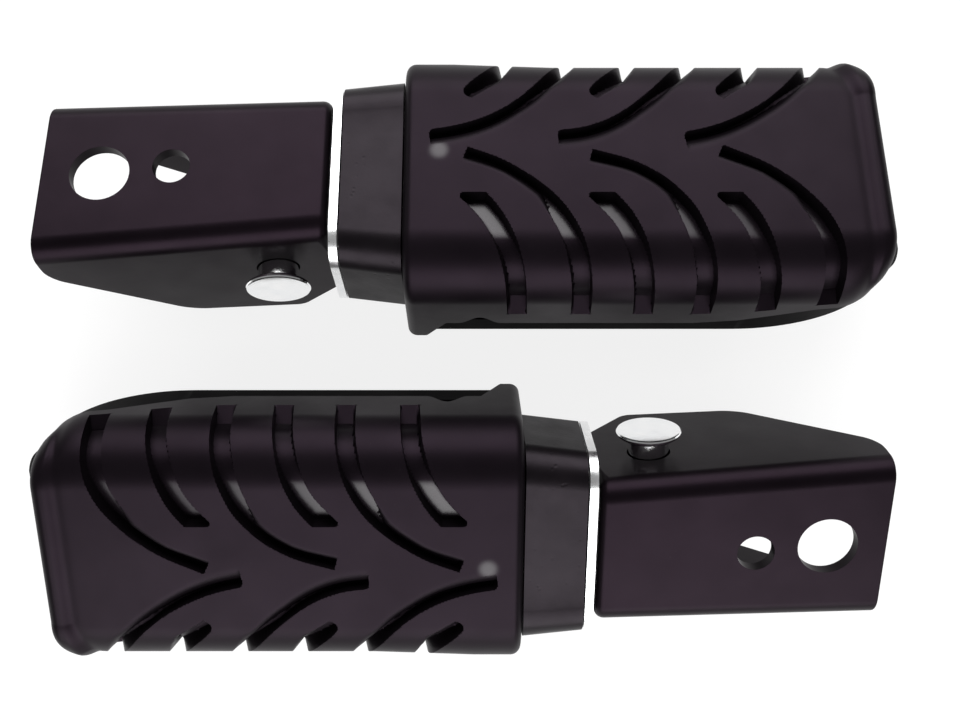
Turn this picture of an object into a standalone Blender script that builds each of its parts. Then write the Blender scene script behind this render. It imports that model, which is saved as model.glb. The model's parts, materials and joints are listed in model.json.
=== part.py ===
# Pair of folding motorcycle passenger footpegs.
# Each peg: a pressed channel bracket, a clevis pin, a forged arm, a face plate,
# a cast collar, a grooved rubber and a hull-shaped underside, held by screws.
# Units are metres. The pair lies on the surface z = 0, midway between the pegs.
# Inside one peg: x runs from bracket to tip, y to the back, z out of the web,
# and the origin is the hinge pin's middle.

import bmesh
import bpy
from math import cos, pi, radians, sin, tan
from mathutils import Matrix, Vector

# Layout of the pair
peg_to_middle = 0.0331
pin_to_middle = 0.0380
roll = radians(19.0)
sweep = radians(3.5)
gap = 0.0003

# Bracket
web_above_pin = 0.0139
sheet = 0.0025
bend_radius = 0.0042
half_width_hinge = 0.0152
half_width_free = 0.0168
hinge_end = 0.0120
free_end = 0.0432
free_end_depth = 0.0106
slope_end_x = 0.0205
slope_end_depth = 0.0313
corner_x = 0.0032
corner_depth = 0.0337
corner_height = 0.0110
free_corner_radius = 0.0070
slope_corner_radius = 0.0100
low_corner_radius = 0.0030
hinge_corner_radius = 0.0040
bolt_hole_radius = 0.00575
bolt_hole_x = 0.0319
locating_hole_radius = 0.0036
locating_hole_x = 0.0182
locating_hole_y = 0.0007

# Hinge pin and what is on it
pin_radius = 0.0040
pin_fit = 0.0003
pin_head_radius = 0.0064
pin_head_thickness = 0.0015
pin_stand_off = 0.0033
pin_tail = 0.0030
washer_radius = 0.0075
washer_thickness = 0.0012
split_pin_radius = 0.0007
split_hole_radius = 0.0009
split_eye_radius = 0.0017
split_eye_sweep = radians(240.0)
split_eye_steps = 8
split_eye_run = 0.0005
split_leg_bend = 0.0008
split_leg_end_x = 0.0022
split_leg_end_z = 0.0020
thrust_washer_radius = 0.0090
thrust_washer_thickness = 0.0010
spring_washer_sheet = 0.0006
bush_wall = 0.0012

# Forged arm
eye_radius = 0.0100
root_half_width = 0.0103
root_top = 0.0092
root_bottom = 0.0100
bar_half_width = 0.0095
bar_top = 0.0055
bar_bottom = 0.0049
bar_end = 0.0980

# Face plate and collar
plate_front = 0.0125
plate_thickness = 0.0016
plate_rim = 0.00245
plate_top = 0.0136
plate_bottom = 0.0090
plate_top_radius = 0.0060
plate_bottom_radius = 0.0025
collar_length = 0.0118
collar_flare = 0.0015
flange_slot_clearance = 0.0006
flange_slot_top = 0.0104
flange_slot_reach = 0.0208
roll_pin_radius = 0.0020
roll_pin_bore = 0.0011
roll_pin_slit = 0.0006
roll_pin_x = 0.0225
roll_pin_top = 0.0030

# Rubber
rubber_length = 0.0924
rubber_half_width = 0.0256
rubber_top = 0.0159
rubber_shoulder_radius = 0.0110
rubber_rim = 0.0047
rubber_tip_radius = 0.0090
rubber_edge_radius = 0.0020
rubber_tip_edge_radius = 0.0035
foot_bottom = 0.0118
foot_thickness = 0.0035
foot_slope = 0.0025
foot_edge_radius = 0.0010
rim_rise_start = 0.0575
rim_rise_height = 0.0100
# Shares of the run and of the height along the rising rim
rim_rise_shape = ((0.25, 0.14), (0.45, 0.42), (0.65, 0.72), (1.0, 1.0))

# Grooves of the tread, as distance along the peg and around its section
groove_margin = 0.0005
groove_pitch = 0.0244
groove_rows = 3
groove_width = 0.0037
groove_depth = 0.0030
groove_ramp = 0.0016
groove_end = 0.0375
groove_over = 0.0010
groove_lean = 0.0004
long_front_start = (0.0118, 0.0024)
long_front_pull = (0.0240, -0.0010)
long_front_bend = (0.0345, -0.0095)
long_front_turn = (0.0357, -0.0270)
short_front_start = (0.0108, -0.0071)
short_front_pull = (0.0165, -0.0065)
short_front_bend = (0.0222, -0.0150)
short_front_turn = (0.0232, -0.0275)
long_back_start = (0.0042, 0.0064)
long_back_pull = (0.0150, 0.0068)
long_back_bend = (0.0240, 0.0130)
long_back_turn = (0.0298, 0.0260)
short_back_start = (0.0106, 0.0146)
short_back_pull = (0.0135, 0.0170)
short_back_bend = (0.0165, 0.0210)
short_back_turn = (0.0182, 0.0280)

# Hull-shaped underside
hull_inset = 0.0009
hull_chine = 0.0105
hull_keel_half_width = 0.0040
hull_nose_past_rubber = 0.0132
hull_nose_length = 0.0400
hull_rake = 0.0240
hull_edge_radius = 0.0012
hull_nose_depth = 0.0125
hull_heel_radius = 0.0020
hull_bow_radius = 0.0060
hull_nose_radius = 0.0020
hull_lip_radius = 0.0010
screw_x = (0.0500, 0.0880)
screw_radius = 0.0030
screw_fit = 0.0003
screw_head_radius = 0.0050
screw_head_height = 0.0040
screw_head_edge = 0.0006
screw_seat = 0.0150
screw_end = 0.0030
screw_socket_radius = 0.0025
screw_socket_depth = 0.0024
counterbore_fit = 0.0010

# Fineness of round shapes
corner_steps = 5
nose_steps = 20
round_sides = 24
small_sides = 16
groove_steps = 7
smooth_angle = radians(35.0)
merge_distance = 0.000001
beyond = 0.0100

# Places that follow from the sizes
plate_back = plate_front + plate_thickness
collar_front = plate_back + gap
collar_back = collar_front + collar_length
rubber_front = collar_back + gap
rubber_end = rubber_front + rubber_length
arm_shoulder = plate_front - gap
groove_top_width = groove_width + groove_ramp * groove_over / groove_depth
bracket_length = free_end + hinge_end
flare = (half_width_free - half_width_hinge) / bracket_length
inside_half_width = half_width_hinge - sheet
washer_outside = inside_half_width - gap
washer_inside = washer_outside - thrust_washer_thickness
eye_half_width = washer_inside - gap
bush_bore = pin_radius + pin_fit
bush_radius = bush_bore + bush_wall


def flange_half_width(x):
    # Outside half width of the channel at x, which grows towards the free end.
    return half_width_hinge + flare * (hinge_end - x)


flange_slot_inner = inside_half_width - flange_slot_clearance
flange_slot_outer = flange_half_width(-slope_end_x) + flange_slot_clearance
plate_half_width = flange_slot_outer + plate_rim
pin_washer_seat = flange_half_width(-washer_radius) + gap
pin_end = pin_washer_seat + washer_thickness + pin_tail
pin_head_back = flange_half_width(-pin_head_radius) + pin_stand_off
split_pin_y = pin_washer_seat + washer_thickness + split_hole_radius + 2 * gap


def clear_scene():
    for thing in list(bpy.data.objects):
        bpy.data.objects.remove(thing, do_unlink=True)
    for group in list(bpy.data.collections):
        bpy.data.collections.remove(group)


def new_collection(name):
    group = bpy.data.collections.new(name)
    bpy.context.scene.collection.children.link(group)
    return group


def finish(name, colour, metallic, roughness):
    material = bpy.data.materials.new(name)
    material.use_nodes = True
    shader = material.node_tree.nodes["Principled BSDF"]
    shader.inputs["Base Color"].default_value = (*colour, 1.0)
    shader.inputs["Metallic"].default_value = metallic
    shader.inputs["Roughness"].default_value = roughness
    material.diffuse_color = (*colour, 1.0)
    return material


# Mesh shapes
def box_mesh(x0, x1, y0, y1, z0, z1):
    bm = bmesh.new()
    bmesh.ops.create_cube(bm, size=1.0)
    bmesh.ops.scale(bm, vec=(x1 - x0, y1 - y0, z1 - z0), verts=bm.verts)
    middle = Vector((x0 + x1, y0 + y1, z0 + z1)) / 2
    bmesh.ops.translate(bm, vec=middle, verts=bm.verts)
    return mesh_of(bm, "box")


def rod_mesh(radius, start, end, axis, sides):
    # Cylinder along one axis through the origin, from start to end.
    bm = bmesh.new()
    bmesh.ops.create_cone(
        bm, cap_ends=True, segments=sides, radius1=radius, radius2=radius, depth=end - start
    )
    bmesh.ops.translate(bm, vec=(0, 0, (start + end) / 2), verts=bm.verts)
    turn = {
        "X": Matrix.Rotation(pi / 2, 4, "Y"),
        "Y": Matrix.Rotation(-pi / 2, 4, "X"),
        "Z": Matrix.Identity(4),
    }
    bmesh.ops.transform(bm, matrix=turn[axis], verts=bm.verts)
    return mesh_of(bm, "rod")


def mesh_of(bm, name):
    mesh = bpy.data.meshes.new(name)
    bm.to_mesh(mesh)
    bm.free()
    return mesh


def rounded(corners, steps=corner_steps):
    # Outline from (u, v, radius) corners, each radius drawn as an arc.
    outline = []
    for index, (u, v, radius) in enumerate(corners):
        here = Vector((u, v))
        back = (Vector(corners[index - 1][:2]) - here).normalized()
        ahead = (Vector(corners[(index + 1) % len(corners)][:2]) - here).normalized()
        if radius <= 0:
            outline.append((u, v))
            continue
        half_angle = back.angle(ahead) / 2
        centre = here + (back + ahead).normalized() * (radius / sin(half_angle))
        start = here + back * (radius / tan(half_angle)) - centre
        end = here + ahead * (radius / tan(half_angle)) - centre
        turn = start.angle_signed(end)
        for step in range(steps + 1):
            spoke = start.copy()
            spoke.rotate(Matrix.Rotation(-turn * step / steps, 2))
            outline.append(tuple(centre + spoke))
    return outline


def prism_mesh(outline, start, end, axis):
    # Flat outline made thick: X takes it as (y, z), Y as (x, z) and Z as (x, y).
    data = bpy.data.curves.new("outline", "CURVE")
    data.dimensions = "2D"
    data.fill_mode = "BOTH"
    data.extrude = (end - start) / 2
    spline = data.splines.new("POLY")
    spline.points.add(len(outline) - 1)
    spline.use_cyclic_u = True
    for point, (u, v) in zip(spline.points, outline):
        point.co = (u, v, 0, 1)
    mesh = curve_to_mesh(data)
    frames = {
        "X": Matrix(((0, 0, 1, 0), (1, 0, 0, 0), (0, 1, 0, 0), (0, 0, 0, 1))),
        "Y": Matrix(((1, 0, 0, 0), (0, 0, -1, 0), (0, 1, 0, 0), (0, 0, 0, 1))),
        "Z": Matrix.Identity(4),
    }
    shift = (start + end) / 2
    side = -1 if axis == "Y" else 1
    mesh.transform(frames[axis] @ Matrix.Translation((0, 0, side * shift)))
    return mesh


def curve_to_mesh(data):
    carrier = bpy.data.objects.new("carrier", data)
    bpy.context.scene.collection.objects.link(carrier)
    graph = bpy.context.evaluated_depsgraph_get()
    mesh = bpy.data.meshes.new_from_object(carrier.evaluated_get(graph))
    bpy.data.objects.remove(carrier, do_unlink=True)
    bm = bmesh.new()
    bm.from_mesh(mesh)
    bmesh.ops.remove_doubles(bm, verts=bm.verts, dist=merge_distance)
    bmesh.ops.recalc_face_normals(bm, faces=bm.faces)
    bm.to_mesh(mesh)
    bm.free()
    return mesh


def tube_mesh(points, radius, resolution):
    data = bpy.data.curves.new("path", "CURVE")
    data.dimensions = "3D"
    data.bevel_depth = radius
    data.bevel_resolution = resolution
    data.use_fill_caps = True
    spline = data.splines.new("POLY")
    spline.points.add(len(points) - 1)
    for point, place in zip(spline.points, points):
        point.co = (*place, 1)
    return curve_to_mesh(data)


def profile_mesh(profile):
    # Open profile of (radius, height) points for a turned piece.
    bm = bmesh.new()
    verts = [bm.verts.new((radius, 0, height)) for radius, height in profile]
    for first, second in zip(verts, verts[1:]):
        bm.edges.new((first, second))
    return mesh_of(bm, "profile")


# Objects
def add_part(name, mesh, parent, material):
    thing = bpy.data.objects.new(name, mesh)
    parts.objects.link(thing)
    thing.parent = parent
    mesh.materials.clear()
    mesh.materials.append(material)
    if mesh.polygons:
        mesh.shade_smooth()
        mesh.set_sharp_from_angle(angle=smooth_angle)
    return thing


def add_cutter(name, mesh, parent):
    thing = bpy.data.objects.new(name, mesh)
    cutters.objects.link(thing)
    thing.parent = parent
    thing.hide_render = True
    thing.display_type = "WIRE"
    return thing


def boolean(thing, tool, operation):
    change = thing.modifiers.new(tool.name, "BOOLEAN")
    change.operation = operation
    change.solver = "EXACT"
    change.object = tool


def turned(name, profile, parent, material, sides=round_sides, closed=False):
    # Piece turned about its own z axis from a profile that runs top to bottom.
    points = profile + profile[:1] if closed else profile
    thing = add_part(name, profile_mesh(points), parent, material)
    screw = thing.modifiers.new("turn", "SCREW")
    screw.axis = "Z"
    screw.angle = 2 * pi
    screw.steps = sides
    screw.render_steps = sides
    screw.use_merge_vertices = True
    screw.merge_threshold = merge_distance
    screw.use_smooth_shade = True
    if closed:
        weld = thing.modifiers.new("weld", "WELD")
        weld.merge_threshold = merge_distance
    return thing


def face_front(thing):
    # Turns a piece whose axis is z so that its z points to the peg's front.
    thing.rotation_euler = (pi / 2, 0, 0)


def add_empty(name, parent, matrix):
    thing = bpy.data.objects.new(name, None)
    parts.objects.link(thing)
    thing.parent = parent
    thing.empty_display_size = beyond
    thing.matrix_local = matrix
    return thing


# Bracket side
def channel_mesh():
    # Outer skin of the channel: its section drawn once and drawn out along x.
    centre_z = web_above_pin - bend_radius
    edge_y = half_width_hinge
    section = [(-edge_y, -web_above_pin - beyond)]
    for step in range(corner_steps + 1):
        angle = pi / 2 * step / corner_steps
        section.append((-edge_y + bend_radius * (1 - cos(angle)), centre_z + bend_radius * sin(angle)))
    section += [(-y, z) for y, z in reversed(section)]
    bm = bmesh.new()
    verts = [bm.verts.new((hinge_end + beyond, y, z)) for y, z in section]
    edges = [bm.edges.new(pair) for pair in zip(verts, verts[1:])]
    drawn = bmesh.ops.extrude_edge_only(bm, edges=edges)["geom"]
    far = [item for item in drawn if isinstance(item, bmesh.types.BMVert)]
    bmesh.ops.translate(bm, vec=(-bracket_length - 2 * beyond, 0, 0), verts=far)
    for vert in bm.verts:
        shift = flange_half_width(vert.co.x) - half_width_hinge
        vert.co.y += shift if vert.co.y > 0 else -shift
    bmesh.ops.recalc_face_normals(bm, faces=bm.faces)
    top = max(bm.faces, key=lambda face: face.calc_center_median().z)
    if top.normal.z < 0:
        bmesh.ops.reverse_faces(bm, faces=bm.faces)
    return mesh_of(bm, "channel")


def flange_outline():
    top = web_above_pin
    return rounded(
        [
            (-free_end, top + beyond, 0),
            (-free_end, top - free_end_depth, free_corner_radius),
            (-slope_end_x, top - slope_end_depth, slope_corner_radius),
            (corner_x, top - corner_depth, low_corner_radius),
            (hinge_end, -corner_height, hinge_corner_radius),
            (hinge_end, top + beyond, 0),
        ]
    )


def build_bracket(side, hinge):
    bracket = add_part(side + "_bracket", channel_mesh(), hinge, powder_coat)
    wall = bracket.modifiers.new("sheet", "SOLIDIFY")
    wall.thickness = sheet
    wall.offset = -1
    wall.use_even_offset = True
    reach = half_width_free + beyond
    outline = prism_mesh(flange_outline(), -reach, reach, "Y")
    for vert in outline.vertices:
        # Both ends stand square to the peg, which the bracket itself does not.
        vert.co.x += vert.co.y * tan(sweep)
    blank = add_cutter(side + "_blank", outline, hinge)
    boolean(bracket, blank, "INTERSECT")
    for hole, x, y, radius in (
        ("bolt_hole", bolt_hole_x, 0, bolt_hole_radius),
        ("locating_hole", locating_hole_x, locating_hole_y, locating_hole_radius),
    ):
        drill = add_cutter(
            side + "_" + hole, rod_mesh(radius, 0, web_above_pin + beyond, "Z", round_sides), hinge
        )
        drill.location = (-x, y, 0)
        boolean(bracket, drill, "DIFFERENCE")
    bore = add_cutter(
        side + "_pin_hole", rod_mesh(bush_bore, -reach, reach, "Y", round_sides), hinge
    )
    boolean(bracket, bore, "DIFFERENCE")
    return bracket


def build_pin(side, hinge):
    head_face = pin_head_back + pin_head_thickness
    chamfer = pin_head_thickness / 2
    pin = turned(
        side + "_hinge_pin",
        [
            (0, head_face),
            (pin_head_radius - chamfer, head_face),
            (pin_head_radius, head_face - chamfer),
            (pin_head_radius, pin_head_back),
            (pin_radius, pin_head_back),
            (pin_radius, -pin_end + chamfer),
            (pin_radius - chamfer, -pin_end),
            (0, -pin_end),
        ],
        hinge,
        zinc,
    )
    face_front(pin)
    hole = add_cutter(
        side + "_split_hole", rod_mesh(split_hole_radius, -beyond, beyond, "X", small_sides), hinge
    )
    hole.location.y = split_pin_y
    boolean(pin, hole, "DIFFERENCE")
    washer = turned(
        side + "_pin_washer",
        washer_profile(bush_bore, washer_radius, washer_thickness),
        hinge,
        zinc,
        closed=True,
    )
    face_front(washer)
    washer.location.y = pin_washer_seat + washer_thickness
    build_split_pin(side, hinge)


def washer_profile(bore, radius, thickness):
    return [(bore, thickness), (radius, thickness), (radius, 0), (bore, 0)]


def build_split_pin(side, hinge):
    # One wire: a bent leg, the straight run through the pin and an open eye.
    leg = pin_radius + split_eye_radius
    eye_x = -leg - split_eye_radius
    path = [
        (leg + split_leg_end_x, 0, -split_leg_end_z),
        (leg + split_leg_bend, 0, -split_leg_bend),
        (leg, 0, 0),
        (-leg + split_eye_run, 0, 0),
    ]
    for step in range(split_eye_steps + 1):
        angle = split_eye_sweep * step / split_eye_steps
        path.append((eye_x + split_eye_radius * cos(angle), 0, split_eye_radius * sin(angle)))
    wire = add_part(side + "_split_pin", tube_mesh(path, split_pin_radius, 2), hinge, zinc)
    wire.location.y = split_pin_y


# Peg side
def build_arm(side, axis, line):
    arm = add_part(
        side + "_arm",
        rod_mesh(eye_radius, -eye_half_width, eye_half_width, "Y", round_sides),
        axis,
        bare_steel,
    )
    root = add_cutter(
        side + "_arm_root",
        box_mesh(0, arm_shoulder, -root_half_width, root_half_width, -root_bottom, root_top),
        line,
    )
    bar = add_cutter(
        side + "_arm_bar",
        box_mesh(arm_shoulder - beyond, bar_end, -bar_half_width, bar_half_width, -bar_bottom, bar_top),
        line,
    )
    bore = add_cutter(
        side + "_eye_bore",
        rod_mesh(bush_radius + gap, -2 * beyond, 2 * beyond, "Y", round_sides),
        axis,
    )
    boolean(arm, root, "UNION")
    boolean(arm, bar, "UNION")
    boolean(arm, bore, "DIFFERENCE")
    bush = turned(
        side + "_eye_bush",
        washer_profile(bush_bore, bush_radius, 2 * eye_half_width),
        axis,
        bronze,
        closed=True,
    )
    face_front(bush)
    bush.location.y = eye_half_width
    thrust = turned(
        side + "_thrust_washer",
        washer_profile(bush_bore, thrust_washer_radius, thrust_washer_thickness),
        axis,
        bare_steel,
        closed=True,
    )
    face_front(thrust)
    thrust.location.y = -washer_inside
    spring = turned(
        side + "_spring_washer",
        [
            (bush_bore, thrust_washer_thickness),
            (thrust_washer_radius, spring_washer_sheet),
            (thrust_washer_radius, 0),
            (bush_bore, thrust_washer_thickness - spring_washer_sheet),
        ],
        axis,
        bare_steel,
        closed=True,
    )
    face_front(spring)
    spring.location.y = washer_outside
    return arm


def plate_outline(half_width):
    return rounded(
        [
            (-half_width, -plate_bottom, plate_bottom_radius),
            (half_width, -plate_bottom, plate_bottom_radius),
            (half_width, plate_top, plate_top_radius),
            (-half_width, plate_top, plate_top_radius),
        ]
    )


def slot_cutters(side, axis):
    # Room for the bracket's flanges as the peg folds about the pin.
    tools = []
    for name, sign in (("front", -1), ("back", 1)):
        low, high = sorted((sign * flange_slot_inner, sign * flange_slot_outer))
        mesh = box_mesh(0, flange_slot_reach, low, high, -2 * beyond, flange_slot_top)
        tools.append(add_cutter(side + "_flange_slot_" + name, mesh, axis))
    return tools


def build_plate_and_collar(side, axis, line, arm):
    plate = add_part(
        side + "_face_plate",
        prism_mesh(plate_outline(plate_half_width), plate_front, plate_back, "X"),
        line,
        zinc,
    )
    mesh = prism_mesh(plate_outline(plate_half_width), collar_front, collar_back, "X")
    for vert in mesh.vertices:
        along = (vert.co.x - collar_front) / collar_length
        vert.co.y *= 1 + along * collar_flare / plate_half_width
    collar = add_part(side + "_collar", mesh, line, cast_black)
    opening = add_cutter(
        side + "_bar_opening",
        box_mesh(
            plate_front - beyond / 2,
            collar_back + beyond,
            -bar_half_width - gap,
            bar_half_width + gap,
            -bar_bottom - gap,
            bar_top + gap,
        ),
        line,
    )
    for tool in [opening] + slot_cutters(side, axis):
        boolean(plate, tool, "DIFFERENCE")
        boolean(collar, tool, "DIFFERENCE")
    hole = add_cutter(
        side + "_roll_pin_hole",
        rod_mesh(roll_pin_radius + gap, -plate_bottom - beyond, roll_pin_top + gap, "Z", small_sides),
        line,
    )
    hole.location.x = roll_pin_x
    boolean(collar, hole, "DIFFERENCE")
    boolean(arm, hole, "DIFFERENCE")
    pin_length = roll_pin_top + plate_bottom - gap
    pin = turned(
        side + "_roll_pin",
        washer_profile(roll_pin_bore, roll_pin_radius, pin_length),
        line,
        bare_steel,
        sides=small_sides,
        closed=True,
    )
    pin.location = (roll_pin_x, 0, -plate_bottom + gap)
    slit = add_cutter(
        side + "_roll_pin_slit",
        box_mesh(0, 2 * roll_pin_radius, -roll_pin_slit / 2, roll_pin_slit / 2, -2 * beyond, 2 * beyond),
        line,
    )
    slit.location.x = roll_pin_x
    boolean(pin, slit, "DIFFERENCE")


def rim_points(offset):
    # Lower edge of the rubber from its inner end to its tip, lowered by offset.
    start = rubber_front + rim_rise_start
    run = rubber_end - start
    points = [(start, -rubber_rim - offset)]
    for share, height in rim_rise_shape:
        points.append((start + run * share, -rubber_rim - offset + rim_rise_height * height))
    return points


def rubber_side_outline():
    foot_end = rubber_front + foot_thickness
    corners = [
        (rubber_front, -foot_bottom, foot_edge_radius),
        (foot_end, -foot_bottom, foot_edge_radius),
        (foot_end + foot_slope, -rubber_rim, 0),
    ]
    corners += [(x, z, 0) for x, z in rim_points(0)]
    corners += [
        (rubber_end, rubber_top, rubber_tip_edge_radius),
        (rubber_front, rubber_top, rubber_edge_radius),
    ]
    return rounded(corners)


def rubber_section_outline():
    return rounded(
        [
            (-rubber_half_width, -foot_bottom - beyond, 0),
            (rubber_half_width, -foot_bottom - beyond, 0),
            (rubber_half_width, rubber_top, rubber_shoulder_radius),
            (-rubber_half_width, rubber_top, rubber_shoulder_radius),
        ]
    )


def rubber_plan_outline():
    return rounded(
        [
            (rubber_front - beyond, -rubber_half_width - beyond, 0),
            (rubber_end - rubber_tip_radius, -rubber_half_width - beyond, 0),
            (rubber_end - rubber_tip_radius, -rubber_half_width, 0),
            (rubber_end, -rubber_half_width, rubber_tip_radius),
            (rubber_end, rubber_half_width, rubber_tip_radius),
            (rubber_end - rubber_tip_radius, rubber_half_width, 0),
            (rubber_end - rubber_tip_radius, rubber_half_width + beyond, 0),
            (rubber_front - beyond, rubber_half_width + beyond, 0),
        ]
    )


def rubber_surface(along, around):
    # Point and outward normal on the rubber: around is the arc length from the
    # middle of the top, negative to the front.
    side = 1 if around > 0 else -1
    reach = abs(around)
    flat = rubber_half_width - rubber_shoulder_radius
    arc = rubber_shoulder_radius * pi / 2
    centre_z = rubber_top - rubber_shoulder_radius
    if reach <= flat:
        return Vector((along, around, rubber_top)), Vector((0, 0, 1))
    if reach <= flat + arc:
        angle = (reach - flat) / rubber_shoulder_radius
        normal = Vector((0, side * sin(angle), cos(angle)))
        centre = Vector((along, side * flat, centre_z))
        return centre + normal * rubber_shoulder_radius, normal
    drop = reach - flat - arc
    return Vector((along, side * rubber_half_width, centre_z - drop)), Vector((0, side, 0))


def bezier(start, pull, bend, turn, share):
    rest = 1 - share
    weights = (rest**3, 3 * rest * rest * share, 3 * rest * share * share, share**3)
    points = (start, pull, bend, turn)
    return tuple(sum(weight * point[i] for weight, point in zip(weights, points)) for i in (0, 1))


def groove_path(start, pull, bend, turn, row):
    # The line of the groove's steep wall, as (along, around) points.
    path = [bezier(start, pull, bend, turn, step / groove_steps) for step in range(groove_steps + 1)]
    side = 1 if turn[1] > 0 else -1
    path.append((turn[0] + groove_lean, side * groove_end))
    start = rubber_front + groove_margin + row * groove_pitch
    return [(start + along, around) for along, around in path]


def groove_mesh(path):
    # Channel with one steep wall on the path and one ramp to its right.
    sections = []
    for index, (along, around) in enumerate(path):
        before = path[max(index - 1, 0)]
        after = path[min(index + 1, len(path) - 1)]
        heading = Vector((after[0] - before[0], after[1] - before[1])).normalized()
        wall, normal = rubber_surface(along, around)
        around_axis = normal.cross(Vector((1, 0, 0)))
        right = Vector((1, 0, 0)) * heading.y - around_axis * heading.x
        sections.append(
            [
                wall + normal * groove_over,
                wall - normal * groove_depth,
                wall - normal * groove_depth + right * (groove_width - groove_ramp),
                wall + normal * groove_over + right * groove_top_width,
            ]
        )
    return swept_mesh(sections)


def swept_mesh(sections):
    # Closed strip through the sections: rings bridged one to the next, then capped.
    bm = bmesh.new()
    rings = []
    for section in sections:
        verts = [bm.verts.new(place) for place in section]
        rings.append([bm.edges.new(pair) for pair in zip(verts, verts[1:] + verts[:1])])
    for before, after in zip(rings, rings[1:]):
        bmesh.ops.bridge_loops(bm, edges=before + after)
    bmesh.ops.holes_fill(bm, edges=rings[0] + rings[-1])
    bmesh.ops.triangulate(bm, faces=bm.faces)
    bmesh.ops.recalc_face_normals(bm, faces=bm.faces)
    return mesh_of(bm, "swept")


def build_rubber(side, line):
    reach = rubber_half_width + beyond
    rubber = add_part(
        side + "_rubber",
        prism_mesh(rubber_section_outline(), rubber_front - beyond, rubber_end + beyond, "X"),
        line,
        black_rubber,
    )
    plan = add_cutter(
        side + "_rubber_plan",
        prism_mesh(rubber_plan_outline(), -foot_bottom - 2 * beyond, rubber_top + beyond, "Z"),
        line,
    )
    profile = add_cutter(
        side + "_rubber_profile", prism_mesh(rubber_side_outline(), -reach, reach, "Y"), line
    )
    boolean(rubber, plan, "INTERSECT")
    boolean(rubber, profile, "INTERSECT")
    channel = add_cutter(
        side + "_rubber_channel",
        box_mesh(
            rubber_front - beyond,
            bar_end + gap,
            -bar_half_width - gap,
            bar_half_width + gap,
            -bar_bottom - gap,
            bar_top + gap,
        ),
        line,
    )
    boolean(rubber, channel, "DIFFERENCE")
    kinds = {
        "long_front": (long_front_start, long_front_pull, long_front_bend, long_front_turn),
        "short_front": (short_front_start, short_front_pull, short_front_bend, short_front_turn),
        "long_back": (long_back_start, long_back_pull, long_back_bend, long_back_turn),
        "short_back": (short_back_start, short_back_pull, short_back_bend, short_back_turn),
    }
    for row in range(groove_rows):
        for kind, shape in kinds.items():
            groove = add_cutter(
                side + "_" + kind + "_groove_" + str(row + 1), groove_mesh(groove_path(*shape, row)), line
            )
            boolean(rubber, groove, "DIFFERENCE")


def hull_plan_outline():
    # Straight sides and an elliptical nose.
    half_width = rubber_half_width - hull_inset
    start = rubber_front + foot_thickness + gap
    nose = rubber_end + hull_nose_past_rubber
    centre = nose - hull_nose_length
    outline = [(start, -half_width)]
    for step in range(nose_steps + 1):
        angle = -pi / 2 + pi * step / nose_steps
        outline.append((centre + hull_nose_length * cos(angle), half_width * sin(angle)))
    outline.append((start, half_width))
    return outline


def hull_section_outline(keel):
    half_width = rubber_half_width - hull_inset + gap
    return rounded(
        [
            (-half_width, beyond, 0),
            (-half_width, -hull_chine, hull_edge_radius),
            (-hull_keel_half_width, -keel, 0),
            (hull_keel_half_width, -keel, 0),
            (half_width, -hull_chine, hull_edge_radius),
            (half_width, beyond, 0),
        ]
    )


def hull_side_outline(keel):
    # Top under the foot's slope and the rim, nose leaning out, raked bow.
    foot_end = rubber_front + foot_thickness + gap
    nose = rubber_end + hull_nose_past_rubber
    rim = rim_points(gap)
    corners = [
        (foot_end, -keel, hull_heel_radius),
        (nose - hull_rake, -keel, hull_bow_radius),
        (nose, -hull_nose_depth, hull_nose_radius),
        (rubber_end + gap, rim[-1][1], hull_lip_radius),
    ]
    corners += [(x, z, 0) for x, z in reversed(rim[:-1])]
    corners += [
        (foot_end + foot_slope + gap, -rubber_rim - gap, 0),
        (foot_end, -foot_bottom + gap, 0),
    ]
    return rounded(corners)


def build_hull(side, line, arm, keel):
    reach = rubber_half_width + beyond
    hull = add_part(
        side + "_hull",
        prism_mesh(hull_plan_outline(), -keel - beyond, rim_rise_height + beyond, "Z"),
        line,
        moulded_black,
    )
    section = add_cutter(
        side + "_hull_section",
        prism_mesh(hull_section_outline(keel), rubber_front - beyond, rubber_end + 3 * beyond, "X"),
        line,
    )
    profile = add_cutter(
        side + "_hull_profile", prism_mesh(hull_side_outline(keel), -reach, reach, "Y"), line
    )
    bed = add_cutter(
        side + "_bar_bed",
        box_mesh(
            rubber_front,
            bar_end + gap,
            -bar_half_width - gap,
            bar_half_width + gap,
            -bar_bottom - gap,
            bar_top,
        ),
        line,
    )
    boolean(hull, section, "INTERSECT")
    boolean(hull, profile, "INTERSECT")
    boolean(hull, bed, "DIFFERENCE")
    for number, x in enumerate(screw_x, 1):
        build_screw(side + "_screw_" + str(number), x, line, hull, arm, keel)


def build_screw(name, x, line, hull, arm, keel):
    head_face = -screw_seat - screw_head_height
    screw = turned(
        name,
        [
            (0, screw_end),
            (screw_radius, screw_end),
            (screw_radius, -screw_seat),
            (screw_head_radius, -screw_seat),
            (screw_head_radius, head_face + screw_head_edge),
            (screw_head_radius - screw_head_edge, head_face),
            (0, head_face),
        ],
        line,
        zinc,
        sides=small_sides,
    )
    screw.location.x = x
    socket = add_cutter(
        name + "_socket",
        rod_mesh(screw_socket_radius, head_face - beyond, head_face + screw_socket_depth, "Z", 6),
        line,
    )
    socket.location.x = x
    boolean(screw, socket, "DIFFERENCE")
    hole = add_cutter(
        name + "_hole", rod_mesh(screw_radius + screw_fit, -keel, bar_top + gap, "Z", small_sides), line
    )
    hole.location.x = x
    boolean(hull, hole, "DIFFERENCE")
    boolean(arm, hole, "DIFFERENCE")
    counterbore = add_cutter(
        name + "_counterbore",
        rod_mesh(
            screw_head_radius + counterbore_fit, -keel - beyond, -screw_seat + gap, "Z", round_sides
        ),
        line,
    )
    counterbore.location.x = x
    boolean(hull, counterbore, "DIFFERENCE")


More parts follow.
